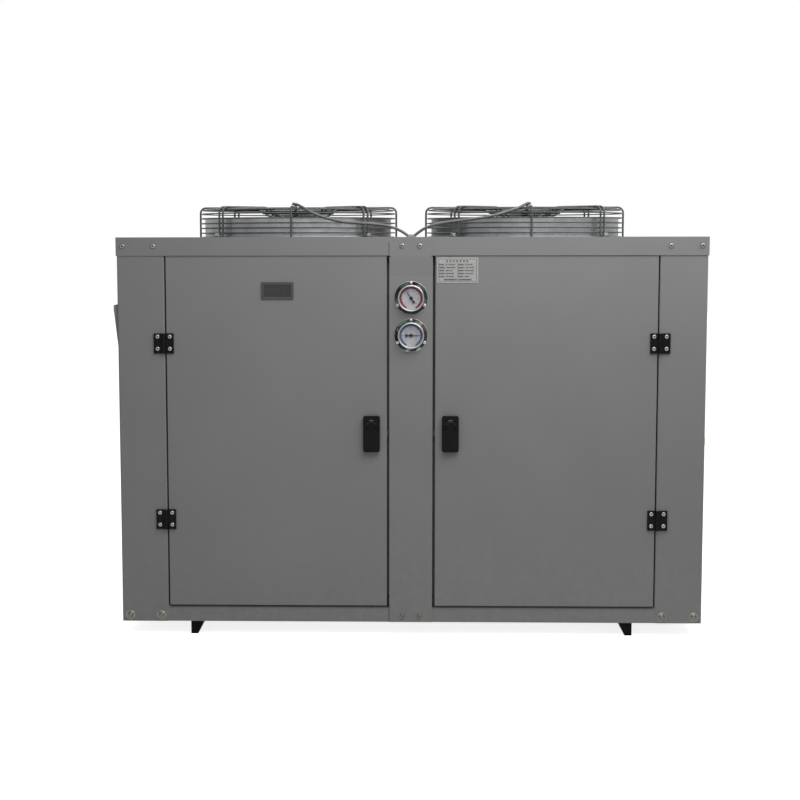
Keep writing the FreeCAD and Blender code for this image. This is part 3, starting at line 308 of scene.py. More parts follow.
def galvanised_sheet():
    """Galvanised steel with its faint spangle and long soft streaks."""
    mat, tree, shader = new_material("galvanised_sheet")
    cells = node(tree, "ShaderNodeTexVoronoi", Vector=coords(tree, (1, 1, 0.8)), Scale=95.0)
    tone = node(tree, "ShaderNodeSeparateColor", n0=cells.outputs["Color"])
    spangle = ramp(tree, tone.outputs[0], [(0.0, (0.285, 0.29, 0.30)), (1.0, (0.335, 0.34, 0.35))])
    streaks = ramp(tree, noise(tree, 9.0, 3.0, 0.5, (1, 1, 0.15)), [(0.3, 0.8), (0.7, 1.0)])
    feed(tree, shader, Base_Color=mix(tree, 1.0, spangle, streaks, "MULTIPLY"), Metallic=0.95,
         Roughness=ramp(tree, tone.outputs[1], [(0.0, 0.34), (1.0, 0.44)]))
    bump(tree, shader, noise(tree, 140.0), 0.3, 0.0001)
    return mat


def glass_window():
    """Clear gauge window: a thin pane that lets the light through to the dial."""
    mat, tree, shader = new_material("clear_window")
    smear = ramp(tree, noise(tree, 90.0, 4.0), [(0.3, 0.03), (0.8, 0.12)])
    feed(tree, shader, Base_Color=(0.03, 0.03, 0.035, 1.0), IOR=1.45, Alpha=0.16, Roughness=smear)
    return mat


def tube_rows():
    """Painted shade for the depth between the fins, with the rows of copper tube showing faintly."""
    mat, tree, shader = new_material("coil_depth_painted_shade")
    half_pitch = TUBE_PITCH / 2 * MM
    fold = maths(tree, "MULTIPLY", maths(tree, "PINGPONG", level(tree), half_pitch), 1 / half_pitch)
    rows = ramp(tree, fold, [(0.30, (0.13, 0.105, 0.09)), (0.46, (0.085, 0.088, 0.09))])
    clouds = ramp(tree, noise(tree, 6.0, 4.0), [(0.3, 0.75), (0.7, 1.0)])
    feed(tree, shader, Base_Color=mix(tree, 1.0, rows, clouds, "MULTIPLY"), Roughness=0.6,
         Specular_IOR_Level=0.2)
    return mat


# Painted shade for the depth between the coil's fins
COIL_SHADE = tube_rows()
GALV = galvanised_sheet()
GLASS = glass_window()


# Mesh tools, all in millimetres until done() writes the mesh in metres
UPWARD = (0, 0, 1)
FRONTWARD = (0, -1, 0)
BEVEL_OVER = 32.0


class Maker:
    """Collects faces for one piece."""

    def __init__(self):
        self.bm = bmesh.new()

    def ring(self, points):
        """New corners at points."""
        return [self.bm.verts.new(p) for p in points]

    def sheet(self, points):
        """One flat face with its corners at points."""
        self.bm.faces.new(self.ring(points))

    def bridge(self, a, b):
        """A closed band of faces between two rings of as many corners."""
        for i in range(len(a)):
            j = (i + 1) % len(a)
            self.bm.faces.new((a[i], a[j], b[j], b[i]))

    def tube(self, points, radius, sides, closed=False, caps=True):
        """A round tube along points, its section kept from twisting."""
        path = [Vector(p) for p in points]
        count = len(path)
        turns = [2 * math.pi * k / sides for k in range(sides)]
        rings = []
        normal = None
        for i, here in enumerate(path):
            if closed:
                along = (path[(i + 1) % count] - path[i - 1]).normalized()
            else:
                along = (path[min(i + 1, count - 1)] - path[max(i - 1, 0)]).normalized()
            if normal is None:
                guess = Vector((0, 0, 1)) if abs(along.z) < 0.9 else Vector((1, 0, 0))
                normal = (guess - along * guess.dot(along)).normalized()
            normal = (normal - along * normal.dot(along)).normalized()
            side = along.cross(normal)
            rings.append(self.ring([here + normal * (radius * math.cos(a)) + side * (radius * math.sin(a))
                                    for a in turns]))
        for a, b in zip(rings, rings[1:]):
            self.bridge(a, b)
        if closed:
            self.bridge(rings[-1], rings[0])
        elif caps:
            self.bm.faces.new(rings[0][::-1])
            self.bm.faces.new(rings[-1])

    def lathe(self, profile, centre, axis, sides, twist=0.0):
        """Turns (radius, height) corners about an axis through centre; radius 0 closes to a point."""
        turn = Vector((0, 0, 1)).rotation_difference(Vector(axis)).to_matrix()
        middle = Vector(centre)
        turns = [twist + 2 * math.pi * k / sides for k in range(sides)]
        rings = []
        for r, h in profile:
            if r <= 0:
                rings.append([self.bm.verts.new(middle + turn @ Vector((0, 0, h)))])
            else:
                rings.append(self.ring([middle + turn @ Vector((r * math.cos(a), r * math.sin(a), h))
                                        for a in turns]))
        for a, b in zip(rings, rings[1:]):
            if len(a) == 1 and len(b) == 1:
                continue
            if len(a) == 1 or len(b) == 1:
                tip, rim = (a[0], b) if len(a) == 1 else (b[0], a)
                for i in range(len(rim)):
                    self.bm.faces.new((rim[i], rim[(i + 1) % len(rim)], tip))
            else:
                self.bridge(a, b)

    def block(self, low, high):
        """A box between two corners."""
        v = [self.bm.verts.new((x, y, z)) for z in (low[2], high[2]) for y in (low[1], high[1])
             for x in (low[0], high[0])]
        for f in ((0, 2, 3, 1), (4, 5, 7, 6), (0, 1, 5, 4), (2, 6, 7, 3), (0, 4, 6, 2), (1, 3, 7, 5)):
            self.bm.faces.new([v[i] for i in f])

    def prism(self, corners, start, step):
        """A flat outline of 3-D corners moved from start along step."""
        a = self.ring([Vector(c) + Vector(start) for c in corners])
        b = self.ring([Vector(c) + Vector(start) + Vector(step) for c in corners])
        self.bridge(a, b)
        self.bm.faces.new(a[::-1])
        self.bm.faces.new(b)

    def mesh(self, name):
        """The faces as mesh data in metres."""
        bmesh.ops.scale(self.bm, vec=(MM, MM, MM), verts=self.bm.verts)
        data = bpy.data.meshes.new(name)
        self.bm.to_mesh(data)
        self.bm.free()
        return data

    def done(self, name, mat, slot, body="cabinet", bevel=0.0, smooth=35.0):
        """Writes the piece, riding on a body."""
        bmesh.ops.recalc_face_normals(self.bm, faces=self.bm.faces)
        return place(name, self.mesh(name), mat, body, bevel, smooth)


def place(name, data, mat, body, bevel, smooth):
    """Puts mesh data in the scene as one riding piece."""
    made = bpy.data.objects.new(name, data)
    bpy.context.scene.collection.objects.link(made)
    if not data.materials:
        data.materials.append(mat)
    if smooth:
        data.polygons.foreach_set("use_smooth", [True] * len(data.polygons))
        data.set_sharp_from_angle(angle=math.radians(smooth))
    if bevel:
        edge = made.modifiers.new("edges", "BEVEL")
        edge.width = bevel * MM
        edge.segments = 2
        edge.limit_method = "ANGLE"
        edge.angle_limit = math.radians(BEVEL_OVER)
    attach(made, body)
    return made


def lathed(name, profile, centre, axis, sides, mat, slot, **finish):
    """A piece turned from one profile, its finish as done() takes it."""
    maker = Maker()
    maker.lathe(profile, centre, axis, sides)
    return maker.done(name, mat, slot, **finish)


def dress(mat, bevel, *names, segments=2):
    """Gives CAD nodes their material, and softens their edges with modifiers."""
    for name in names:
        piece = nodes[name]
        for holder in piece.material_slots:
            holder.material = mat
        if not piece.material_slots:
            piece.data.materials.append(mat)
        if not bevel:
            continue
        weld = piece.modifiers.new("weld", "WELD")
        weld.merge_threshold = 0.000002
        flat = piece.modifiers.new("flat", "DECIMATE")
        flat.decimate_type = "DISSOLVE"
        flat.angle_limit = math.radians(0.3)
        edge = piece.modifiers.new("edges", "BEVEL")
        edge.width = bevel * MM
        edge.segments = segments
        edge.limit_method = "ANGLE"
        edge.angle_limit = math.radians(BEVEL_OVER)
        edge.use_clamp_overlap = True
        normal = piece.modifiers.new("normals", "WEIGHTED_NORMAL")
        normal.keep_sharp = False


# Fan leads, through the same points as the CAD solids
def lead_route(side):
    """Route of a fan lead: over the guard, down in front of it and into the cover's grommet."""
    z = Z_TOP
    c = side * FAN_X
    over = z + GUARD_H + LEAD_R + 0.6
    start = [(c, GLAND_Y, GLAND_Z), (c, GLAND_Y - 28, GLAND_Z), (c, -104, over + 3.2),
             (c - side, -150, over + 0.6), (c - side, -197, over), (c - 3 * side, -221, over + 0.4),
             (c - 12 * side, -244, over - 0.5)]
    if side < 0:
        free = [(-265, -260, z + 72), (-243, -267, z + 59), (-211, -268.5, z + 47), (-169, -269, z + 36.3),
                (-123, -269, z + 33.6), (-83, -268, z + 31), (-50, -266.5, z + 25.5)]
    else:
        free = [(264, -260, z + 71), (239, -267, z + 62.5), (203, -268.5, z + 51.5), (160, -269, z + 44.5),
                (114, -269, z + 39), (72, -268, z + 33.5), (40, -266.5, z + 25)]
    up = z + (LEAD_R + 0.3) * math.cos(LEAD_SLOPE)
    run = 17.0
    back = (side * (GROMMET_NEAR + run * math.cos(LEAD_SLOPE)), GROMMET_Y, up + run * math.sin(LEAD_SLOPE))
    return start + free + [back, (side * GROMMET_NEAR, GROMMET_Y, up)]


def spline_length(curve_object):
    """Length of a curve's own line, in metres."""
    keep = curve_object.data.bevel_depth
    curve_object.data.bevel_depth = 0.0
    bpy.context.view_layer.update()
    seen = curve_object.evaluated_get(bpy.context.evaluated_depsgraph_get())
    line = bpy.data.meshes.new_from_object(seen)
    spots = [v.co.copy() for v in line.vertices]
    bpy.data.meshes.remove(line)
    curve_object.data.bevel_depth = keep
    return sum((b - a).length for a, b in zip(spots, spots[1:]))


def fan_lead(side):
    """One fan lead as a smooth curve."""
    word = SIDES[side]
    route = lead_route(side)
    curve = bpy.data.curves.new("lead_line_" + word, "CURVE")
    curve.dimensions = "3D"
    curve.resolution_u = 14
    curve.bevel_depth = 1.0
    curve.bevel_resolution = 5
    curve.use_fill_caps = True
    line = curve.splines.new("NURBS")
    line.points.add(len(route) - 1)
    for point, here in zip(line.points, route):
        point.co = (here[0] * MM, here[1] * MM, here[2] * MM, 1.0)
        point.radius = LEAD_R * MM
    line.order_u = 3
    line.use_endpoint_u = True
    lead = bpy.data.objects.new("fan_cable_" + word, curve)
    bpy.context.scene.collection.objects.link(lead)
    curve.materials.append(SHEATH)
    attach(lead, "cabinet")
    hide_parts("fan_lead_" + word)
    round(spline_length(lead), 4)


def lead_boot(side):
    """The ribbed, tapered sleeve where a lead leaves the terminal block."""
    profile = [(7.6, 0), (7.6, 2), (6.6, 3), (5.9, 8), (6.3, 8.6), (5.6, 9.2), (5.3, 13), (5.7, 13.6),
               (5.0, 14.2), (4.7, 18), (5.0, 18.6), (4.3, 20), (LEAD_R, 20.5)]
    lathed("cable_boot_" + SIDES[side], profile, (side * FAN_X, GLAND_Y + 0.5, GLAND_Z), FRONTWARD, 20,
           RUBBER, "black_plastic")


for side in SIDES:
    fan_lead(side)
    lead_boot(side)


# Screws
def cross_head(radius, height, finish):
    """Mesh of a domed screw head with a cross recess, standing on z = 0 and facing up, in metres."""
    maker = Maker()
    bm = maker.bm
    sides = 20
    profile = [(1.0, 0.0), (1.0, 0.25), (0.95, 0.55), (0.82, 0.82), (0.56, 1.0)]
    rings = []
    turns = [2 * math.pi * k / sides for k in range(sides)]
    for r, h in profile:
        rings.append(maker.ring([(radius * r * math.cos(a), radius * r * math.sin(a), height * h)
                                 for a in turns]))
    for a, b in zip(rings, rings[1:]):
        maker.bridge(a, b)
    arm, half = 0.46 * radius, 0.12 * radius
    cross = [(half, half), (half, arm), (-half, arm), (-half, half), (-arm, half), (-arm, -half),
             (-half, -half), (-half, -arm), (half, -arm), (half, -half), (arm, -half), (arm, half)]
    top = maker.ring([(x, y, height) for x, y in cross])
    edges = [bm.edges.new((top[i], top[(i + 1) % len(top)])) for i in range(len(top))]
    rim = [bm.edges.get((rings[-1][i], rings[-1][(i + 1) % sides])) for i in range(sides)]
    bmesh.ops.triangle_fill(bm, edges=edges + rim, use_beauty=True)
    inside = [f for f in bm.faces if all(v in top for v in f.verts)]
    bmesh.ops.delete(bm, geom=inside, context="FACES_ONLY")
    low = maker.ring([(x * 0.7, y * 0.7, height * 0.35) for x, y in cross])
    maker.bridge(top, low)
    bm.faces.new(low)
    # Painted shade: the recess faces take the near-black second material
    for face in bm.faces:
        if any(v in low for v in face.verts):
            face.material_index = 1
    bm.faces.new(rings[0][::-1])
    bmesh.ops.recalc_face_normals(bm, faces=bm.faces)
    data = maker.mesh("screw_head")
    data.materials.append(finish)
    data.materials.append(RECESS_SHADE)
    return data


def screws(name, data, spots, body="cabinet"):
    """Screw heads at spots (x, y, z) in millimetres, all facing the front and each turned by chance."""
    turn = Vector((0, 0, 1)).rotation_difference(Vector(FRONTWARD)).to_matrix().to_4x4()
    draw = random.Random(name)
    bm = bmesh.new()
    for spot in spots:
        before = len(bm.verts)
        bm.from_mesh(data)
        bm.verts.ensure_lookup_table()
        spin = Matrix.Rotation(draw.uniform(0, math.pi / 2), 4, "Z")
        move = Matrix.Translation(Vector(spot) * MM) @ turn @ spin
        bmesh.ops.transform(bm, matrix=move, verts=bm.verts[before:])
    made = bpy.data.meshes.new(name)
    bm.to_mesh(made)
    bm.free()
    for mat in data.materials:
        made.materials.append(mat)
    place(name, made, None, body, 0.0, 38.0)


PAN = cross_head(5.8, 3.4, AGED)
DULL = cross_head(5.8, 3.4, OLIVE)
HINGE_HEAD = cross_head(5.0, 2.4, ZINC)
SMALL = cross_head(3.6, 2.2, BRIGHT)
screws("cover_screws", PAN, [(x, SKIRT_Y, 939.0) for x in (-685.5, -612.0, 612.0, 685.5)])
screws("post_top_screws", PAN, [(x, SKIRT_Y - 1.5, 939.5) for x in (-21.0, 21.0)])
screws("post_foot_screws", DULL, [(x, Y_FRONT, 46.4) for x in (-20.6, 20.6)])
for side, word in SIDES.items():
    for label, away, body in (("frame", 14.6, "cabinet"), ("door", -14.6, word + "_door")):
        spots = [(side * (HINGE_X + away), LEAF_Y, z + dz) for z in HINGE_Z for dz in (-12.6, 16.3)]
        screws(label + "_leaf_screws_" + word, HINGE_HEAD, spots, body)


# Fan guards
def guard_profile():
    """Centreline of a guard rod as (radius, height over the cover), from the foot to the middle plate."""
    r0 = GUARD_R - ROD_R
    top = GUARD_H - ROD_R
    line = [(r0, 0.0), (r0, 20.0), (r0, 40.0)]
    for k in range(7):
        a = math.radians(15 * k)
        line.append((r0 - GUARD_BEND + GUARD_BEND * math.cos(a), top - GUARD_BEND + GUARD_BEND * math.sin(a)))
    line += [(215.0, top), (180.0, top), (145.0, top), (122.0, top)]
    line += [(114.0, top - 0.7), (106.0, top - 3.3), (84.0, top - 15.7)]
    line += [(PLATE_R, top - 25.4), (60.0, top - 27.2), (50.0, top - 27.4)]
    return line


def along_profile(radius):
    """Height of the rods' centreline at a radius on the guard's top."""
    line = guard_profile()[8:]
    for (r1, h1), (r0, h0) in zip(line, line[1:]):
        if r0 <= radius <= r1:
            return h0 + (h1 - h0) * (radius - r0) / (r1 - r0)
    return line[-1][1]


def bearing(degrees):
    """The directions out from a fan's middle at an angle from the front, and square to it."""
    a = math.radians(degrees - 90)
    return Vector((math.cos(a), math.sin(a), 0)), Vector((-math.sin(a), math.cos(a), 0))


def guard_rods(word, cx):
    """The bent rods, single ones on the fan's axes and pairs between them."""
    rods = Maker()
    for quarter in (0, 90, 180, 270):
        for degrees, shift in ((quarter, 0.0), (quarter + 45, 7.0), (quarter + 45, -7.0)):
            out, across = bearing(degrees)
            rods.tube([Vector((cx, 0, Z_TOP)) + out * r + across * shift + Vector((0, 0, h))
                       for r, h in guard_profile()], ROD_R, 8)
    return rods.done("guard_rods_" + word, WIRE, "guard_wire", smooth=60)


def guard_hoops(word, cx, seed):
    """The hoops welded inside the rods, each a little out of level."""
    hoops = Maker()
    draw = random.Random(seed)
    rings = [(GUARD_R - 2 * ROD_R - RING_R, h) for h in HOOP_HEIGHTS]
    lift = 0.72 * (GUARD_BEND - ROD_R - RING_R) - GUARD_BEND
    rings.append((GUARD_R - ROD_R + lift, GUARD_H - ROD_R + lift))
    r = TOP_HOOP_R
    while r > PLATE_R:
        rings.append((r, along_profile(r) - ROD_R - RING_R + 0.3))
        r -= 12.2 if r > 112 else 10.0
    for radius, height in rings:
        lean = draw.uniform(0, 2 * math.pi)
        count = 72 if radius > 150 else 48
        turns = [2 * math.pi * k / count for k in range(count)]
        line = [(cx + radius * math.cos(a), radius * math.sin(a), Z_TOP + height + 0.35 * math.sin(a + lean))
                for a in turns]
        hoops.tube(line, RING_R, 6, closed=True)
    hoops.done("guard_hoops_" + word, WIRE, "guard_wire", smooth=70)


def guard_lugs(word, cx):
    """The four lugs on the cover; returns the places of their bolts."""
    lugs = Maker()
    half = [(-5, 10), (12, 10), (17, 6)]
    plan = half + [(far, -wide) for far, wide in half[::-1]]
    spots = []
    for k in range(4):
        out, across = bearing(45 + 90 * k)
        lugs.prism([out * (GUARD_R + far) + across * wide for far, wide in plan], (cx, 0, Z_TOP), (0, 0, 3))
        where = out * (GUARD_R + 8)
        spots.append((cx + where.x, where.y, Z_TOP + 3))
    lugs.done("guard_lugs_" + word, WIRE, "guard_wire", bevel=0.4)
    return spots


def guard_bolts(word, spots):
    """Flanged hexagon heads on the lugs."""
    heads = Maker()
    for x, y, z in spots:
        heads.lathe([(9.0, z), (9.0, z + 1.5), (0, z + 1.5)], (x, y, 0), UPWARD, 24)
        heads.lathe([(6.9, z + 1.5), (6.9, z + 5.6), (6.0, z + 6.4), (0, z + 6.4)], (x, y, 0), UPWARD, 6)
    heads.done("guard_bolts_" + word, ZINC, "zinc_steel", bevel=0.3)


def guard(side):
    """Wire guard: bent rods with hoops welded inside them, its middle plate, lugs and bolts."""
    word = SIDES[side]
    cx = side * FAN_X
    low = PLATE_Z - 3
    bars = guard_rods(word, cx)
    guard_hoops(word, cx, 17 + side)
    profile = [(17.0, low), (PLATE_R, low), (PLATE_R, PLATE_Z), (17.0, PLATE_Z), (17.0, low)]
    lathed("guard_plate_" + word, profile, (cx, 0, 0), UPWARD, 64, GALV, "guard_wire", bevel=0.5)
    spots = guard_lugs(word, cx)
    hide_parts("fan_guard_" + word)
    guard_bolts(word, spots)


for side in SIDES:
    guard(side)


# Gauges
def flat_ring(maker, z, y, r0, r1, half_turn, steps):
    """A flat arc of a ring facing the front, as far to the left of the top as to the right, in degrees."""
    rings = []
    for k in range(steps + 1):
        a = math.radians(-half_turn + 2 * half_turn * k / steps)
        rings.append([maker.bm.verts.new((r * math.sin(a), y, z + r * math.cos(a))) for r in (r0, r1)])
    for a, b in zip(rings, rings[1:]):
        maker.bm.faces.new((a[0], a[1], b[1], b[0]))


def tick(maker, middle, degrees, near, far, half):
    """A stroke that points at a dial's middle, its angle clockwise from the top."""
    a = math.radians(degrees)
    out = Vector((math.sin(a), 0, math.cos(a)))
    side = Vector((math.cos(a), 0, -math.sin(a)))
    corners = [out * near - side * half, out * far - side * half, out * far + side * half,
               out * near + side * half]
    maker.sheet([middle + c for c in corners])


def number(text, size, x, y, z):
    """A number printed on a dial, as flat mesh data at its place in millimetres."""
    curve = bpy.data.curves.new("number", "FONT")
    curve.body = text
    curve.size = size * MM
    curve.align_x = "CENTER"
    curve.align_y = "CENTER"
    curve.resolution_u = 3
    made = bpy.data.objects.new("number", curve)
    bpy.context.scene.collection.objects.link(made)
    bpy.context.view_layer.update()
    data = bpy.data.meshes.new_from_object(made.evaluated_get(bpy.context.evaluated_depsgraph_get()))
    bpy.data.objects.remove(made)
    data.transform(Matrix.Translation(Vector((x, y, z)) * MM) @ Matrix.Rotation(math.pi / 2, 4, "X"))
    data.transform(Matrix.Scale(1 / MM, 4))
    return data


def dial_print(word, ink, labels, inner):
    """A dial's coloured band, then its strokes, rings and numbers."""
    z = GAUGE_Z[word]
    band = Maker()
    flat_ring(band, z, DIAL_Y - 0.05, 23.0, 27.2, 155, 72)
    band.done("dial_band_" + word, ink, "dial_white", smooth=0)
    marks = Maker()
    y = DIAL_Y - 0.06
    middle = Vector((0, y, z))
    steps = 10 * (len(labels) - 1)
    for k in range(steps + 1):
        long = k % 10 == 0
        near = 19.4 if long else 20.9 if k % 5 == 0 else 21.6
        tick(marks, middle, -DIAL_SWEEP + 2 * DIAL_SWEEP * k / steps, near, 22.7, 0.32 if long else 0.16)
    if inner:
        for k in range(31):
            tick(marks, middle, -DIAL_SWEEP + 2 * DIAL_SWEEP * k / 30, 12.6, 14.0, 0.12)
        flat_ring(marks, z, y, 14.0, 14.3, DIAL_SWEEP, 60)
    flat_ring(marks, z, y, 22.65, 22.95, DIAL_SWEEP, 72)
    for k, text in enumerate(labels):
        a = math.radians(-DIAL_SWEEP + 2 * DIAL_SWEEP * k / (len(labels) - 1))
        data = number(text, 3.4, 16.6 * math.sin(a), DIAL_Y - 0.07, z + 16.6 * math.cos(a))
        marks.bm.from_mesh(data)
        bpy.data.meshes.remove(data)
    marks.done("dial_marks_" + word, INK, "dial_white", smooth=0)


def gauge(word, ink, labels, inner=False):
    """Case, flange, bezel and dial of one gauge; returns the bezel."""
    z = GAUGE_Z[word]
    front = (0, Y_FRONT, z)
    lathed("gauge_body_" + word, [(0, 0), (30.0, 0), (30.0, 34.0), (31.0, 34.0)], (0, Y_FRONT + 34, z),
           FRONTWARD, 48, BLACK_PAINT, "stainless", bevel=0.6)
    # Painted reflection on the flange, painted highlight on its rim
    lathed("gauge_flange_" + word,
           [(30.5, 0), (39.6, 0), (39.6, 1.9), (38.6, 2.2), (33.4, 2.2), (32.2, 1.9), (30.5, 1.9)],
           front, FRONTWARD, 72, FLANGE, "stainless", smooth=50)
    lathed("gauge_flange_edge_" + word,
           [(39.5, 0), (40.4, 0), (40.4, 0.9), (40.1, 1.5), (39.6, 1.95), (39.5, 1.9)],
           front, FRONTWARD, 72, RIM_HIGHLIGHT, "stainless", smooth=70)
    bezel = lathed("gauge_bezel_" + word,
                   [(31.2, 1.9), (32.0, 2.6), (32.0, 12.0), (31.6, 14.2), (30.4, 15.6), (29.2, 15.9),
                    (28.2, 15.2), (27.8, 13.6), (28.6, 12.8)],
                   front, FRONTWARD, 72, CHROME, "stainless", smooth=60)
    lathed("gauge_wall_" + word, [(28.9, 4.0), (28.9, 12.8)], front, FRONTWARD, 64, WHITE, "dial_white")
    dial_print(word, ink, labels, inner)
    turns = [math.radians(degrees) for degrees in (0, 118, 242)]
    spots = [(36.0 * math.sin(a), Y_FRONT - 2.2, z + 36.0 * math.cos(a)) for a in turns]
    screws("gauge_screws_" + word, SMALL, spots)
    return bezel


high_bezel = gauge("high", RED, ["0", "5", "10", "15", "20", "25", "30", "35"])
gauge("low", BLUE_INK, ["0", "3", "6", "9", "12", "15", "18"], inner=True)
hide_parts("gauge_cases")


# Condenser coil
SIDE_RUN = COIL_REAR - COIL_BEND - COIL_FRONT
CORNER_RUN = math.pi / 2 * (COIL_BEND - COIL_T / 2)


def coil_line(inset):
    """Points of the coil's plan at a distance inside its outer face, from left front to right."""
    radius = COIL_BEND - inset
    cx, cy = COIL_SIDE - COIL_BEND, COIL_REAR - COIL_BEND
    line = [(inset - COIL_SIDE, COIL_FRONT, 0)]
    for sx in (-1, 1):
        for k in range(9):
            a = math.radians(90.0 * k / 8)
            a = a if sx < 0 else math.pi / 2 - a
            line.append((sx * cx + radius * (sx * math.cos(a)), cy + radius * math.sin(a), 0))
    line.append((COIL_SIDE - inset, COIL_FRONT, 0))
    return line


def coil_spot(run):
    """Point on the left half of the coil's outer face, a run from its front end, and the way in."""
    if run < SIDE_RUN:
        return (-COIL_SIDE, COIL_FRONT + run), (1.0, 0.0)
    if run < SIDE_RUN + CORNER_RUN:
        a = (run - SIDE_RUN) / (COIL_BEND - COIL_T / 2)
        out = (-math.cos(a), math.sin(a))
        here = (COIL_BEND - COIL_SIDE + COIL_BEND * out[0], COIL_REAR - COIL_BEND + COIL_BEND * out[1])
        return here, (-out[0], -out[1])
    return (COIL_BEND - COIL_SIDE + run - SIDE_RUN - CORNER_RUN, COIL_REAR), (0.0, -1.0)


def coil_fins():
    """Upright plate fins all along the U of the coil, square to its tubes and a little unevenly spaced."""
    fins = Maker()
    total = 2 * SIDE_RUN + 2 * CORNER_RUN + 2 * (COIL_SIDE - COIL_BEND)
    count = int(total / FIN_PITCH)
    draw = random.Random(23)
    for k in range(count):
        along = (k + 0.5 + draw.uniform(-FIN_STRAY, FIN_STRAY)) * total / count
        mirror = along > total / 2
        outer, inward = coil_spot(total - along if mirror else along)
        flip = -1 if mirror else 1
        start = Vector((flip * outer[0], outer[1], 0))
        across = Vector((flip * inward[0], inward[1], 0))
        thick = Vector((-across.y, across.x, 0)) * FIN_HALF
        corners = [start - thick, start + across * COIL_T - thick, start + across * COIL_T + thick,
                   start + thick]
        fins.prism(corners, (0, 0, COIL_LOW), (0, 0, COIL_HIGH - COIL_LOW))
    plates = fins.done("coil_fins", FINS, "fin_aluminium", smooth=0)
    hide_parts("condenser_coil")


def coil_ends():
    """The galvanised sheets in front of the coil's two ends."""
    ends = Maker()
    for sx in (-1, 1):
        near, far = sorted((sx * (COIL_SIDE - COIL_T - 4), sx * COIL_SIDE))
        ends.block((near, COIL_FRONT - SHEET_T, COIL_LOW), (far, COIL_FRONT, COIL_HIGH))
    ends.done("coil_end_sheets", GALV, "fin_aluminium", bevel=0.3)


def coil_core():
    """The body between the fins' outer edges, coloured as painted shade for the depth there, with the rows of
    tubes showing.
    """
    core = Maker()
    plan = coil_line(FIN_EDGE) + coil_line(COIL_T - FIN_EDGE)[::-1]
    core.prism(plan, (0, 0, COIL_LOW), (0, 0, COIL_HIGH - COIL_LOW - 1))
    core.done("coil_core", COIL_SHADE, "fin_aluminium", smooth=0)


def coil_bends():
    """Copper bends that join the tubes in pairs in front of the end sheets, in three staggered columns."""
    bends = Maker()
    rows = int((COIL_HIGH - COIL_LOW - TUBE_PITCH) / TUBE_PITCH)
    half = TUBE_PITCH / 2
    start = COIL_FRONT - SHEET_T
    for column, inset in enumerate(BEND_INSETS):
        low = COIL_LOW + 0.75 * TUBE_PITCH + (half if column == 1 else 0)
        for sx, first in ((-1, 0), (1, 1)):
            for k in range(first, rows - 1, 2):
                z = low + k * TUBE_PITCH
                x = sx * (COIL_SIDE - inset)
                turn = [(x, start - 3.0 - half * math.sin(a), z + half * (1 - math.cos(a)))
                        for a in (math.pi * i / 8 for i in range(9))]
                turn = [(x, start + 1.0, z)] + turn + [(x, start + 1.0, z + TUBE_PITCH)]
                bends.tube(turn, BEND_R, 8, caps=False)
    bends.done("coil_bends", COPPER, "copper", smooth=50)


coil_fins()
coil_ends()
coil_core()
coil_bends()


# Nameplate and latches
def nameplate_print():
    """Printed frame and blank table lines on the plate, with short marks that say nothing."""
    low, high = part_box("nameplate")
    x0, x1, z0, z1 = low.x / MM, high.x / MM, low.z / MM, high.z / MM
    y = low.y / MM - 0.06
    lines = Maker()
    draw = random.Random(5)

    def bar(xa, xb, za, zb):
        """A printed rectangle."""
        lines.sheet([(xa, y, za), (xb, y, za), (xb, y, zb), (xa, y, zb)])

    def dashes(start, stop, z, high, gap):
        """A row of short marks of uneven length."""
        x = start
        while x < stop - 0.8:
            long = min(draw.uniform(1.2, 3.8), stop - x)
            bar(x, x + long, z - high / 2, z + high / 2)
            x += long + draw.uniform(0.4, gap)

    def stroke_mark(x, z, size):
        """A small block of crossing strokes, the size of one printed sign."""
        for k in range(3):
            level = z - size / 2 + size * (k + draw.uniform(0.1, 0.5)) / 3
            bar(x, x + size * draw.uniform(0.6, 1.0), level, level + 1.0)
        post = x + size * draw.uniform(0.3, 0.6)
        bar(post, post + 1.2, z - size / 2, z + size / 2)

    edge, thin = 3.6, 0.9
    bar(x0 + edge, x1 - edge, z1 - edge - thin, z1 - edge)
    bar(x0 + edge, x1 - edge, z0 + edge, z0 + edge + thin)
    bar(x0 + edge, x0 + edge + thin, z0 + edge, z1 - edge)
    bar(x1 - edge - thin, x1 - edge, z0 + edge, z1 - edge)
    rows = 5
    top, bottom = z1 - 13.6, z0 + 11.6
    step = (top - bottom) / rows
    middle = (x0 + x1) / 2
    bar(middle - 0.3, middle + 0.3, bottom, top)
    for k in range(rows + 1):
        bar(x0 + edge, x1 - edge, top - k * step - 0.2, top - k * step + 0.2)
    for k in range(rows):
        z = top - step * (k + 0.5)
        for start in (x0 + 5.0, middle + 1.2):
            dashes(start, start + 13.0, z, 3.0, 0.6)
            dashes(start + 15.5, start + draw.uniform(25.0, 40.0), z, 2.5, 1.5)
    for k in range(7):
        stroke_mark(middle - 27.0 + k * 7.9, z1 - 9.0, 4.6)
    dashes(x0 + 16.0, middle - 1.5, z0 + 7.6, 3.4, 0.6)
    dashes(middle + 1.5, x1 - 16.0, z0 + 7.6, 3.4, 0.6)
    lines.done("plate_rules", RULES, "plate_aluminium", "right_door", smooth=0)


def tongue_face(side):
    """Painted highlight: a pale face on the slope at the round top of a paddle's tongue, standing in for the
    light it catches.
    """
    face = Maker()
    top = HANDLE_Z + 36.25
    reach, drop, tall, deep = 8.9, 9.5, 8.2, 6.0
    points = []
    for k in range(15):
        turn = math.radians(38 + 104 * k / 14)
        x, z = side * HANDLE_X + reach * math.cos(turn), top - drop + reach * math.sin(turn)
        points.append((x, Y_FRONT - 11.1 + (z - top + tall) * deep / tall, z))
    face.sheet(points)
    face.done("tongue_slope_" + SIDES[side], TONGUE_HIGHLIGHT, "black_zinc", SIDES[side] + "_paddle", smooth=0)


nameplate_print()
for side in SIDES:
    tongue_face(side)


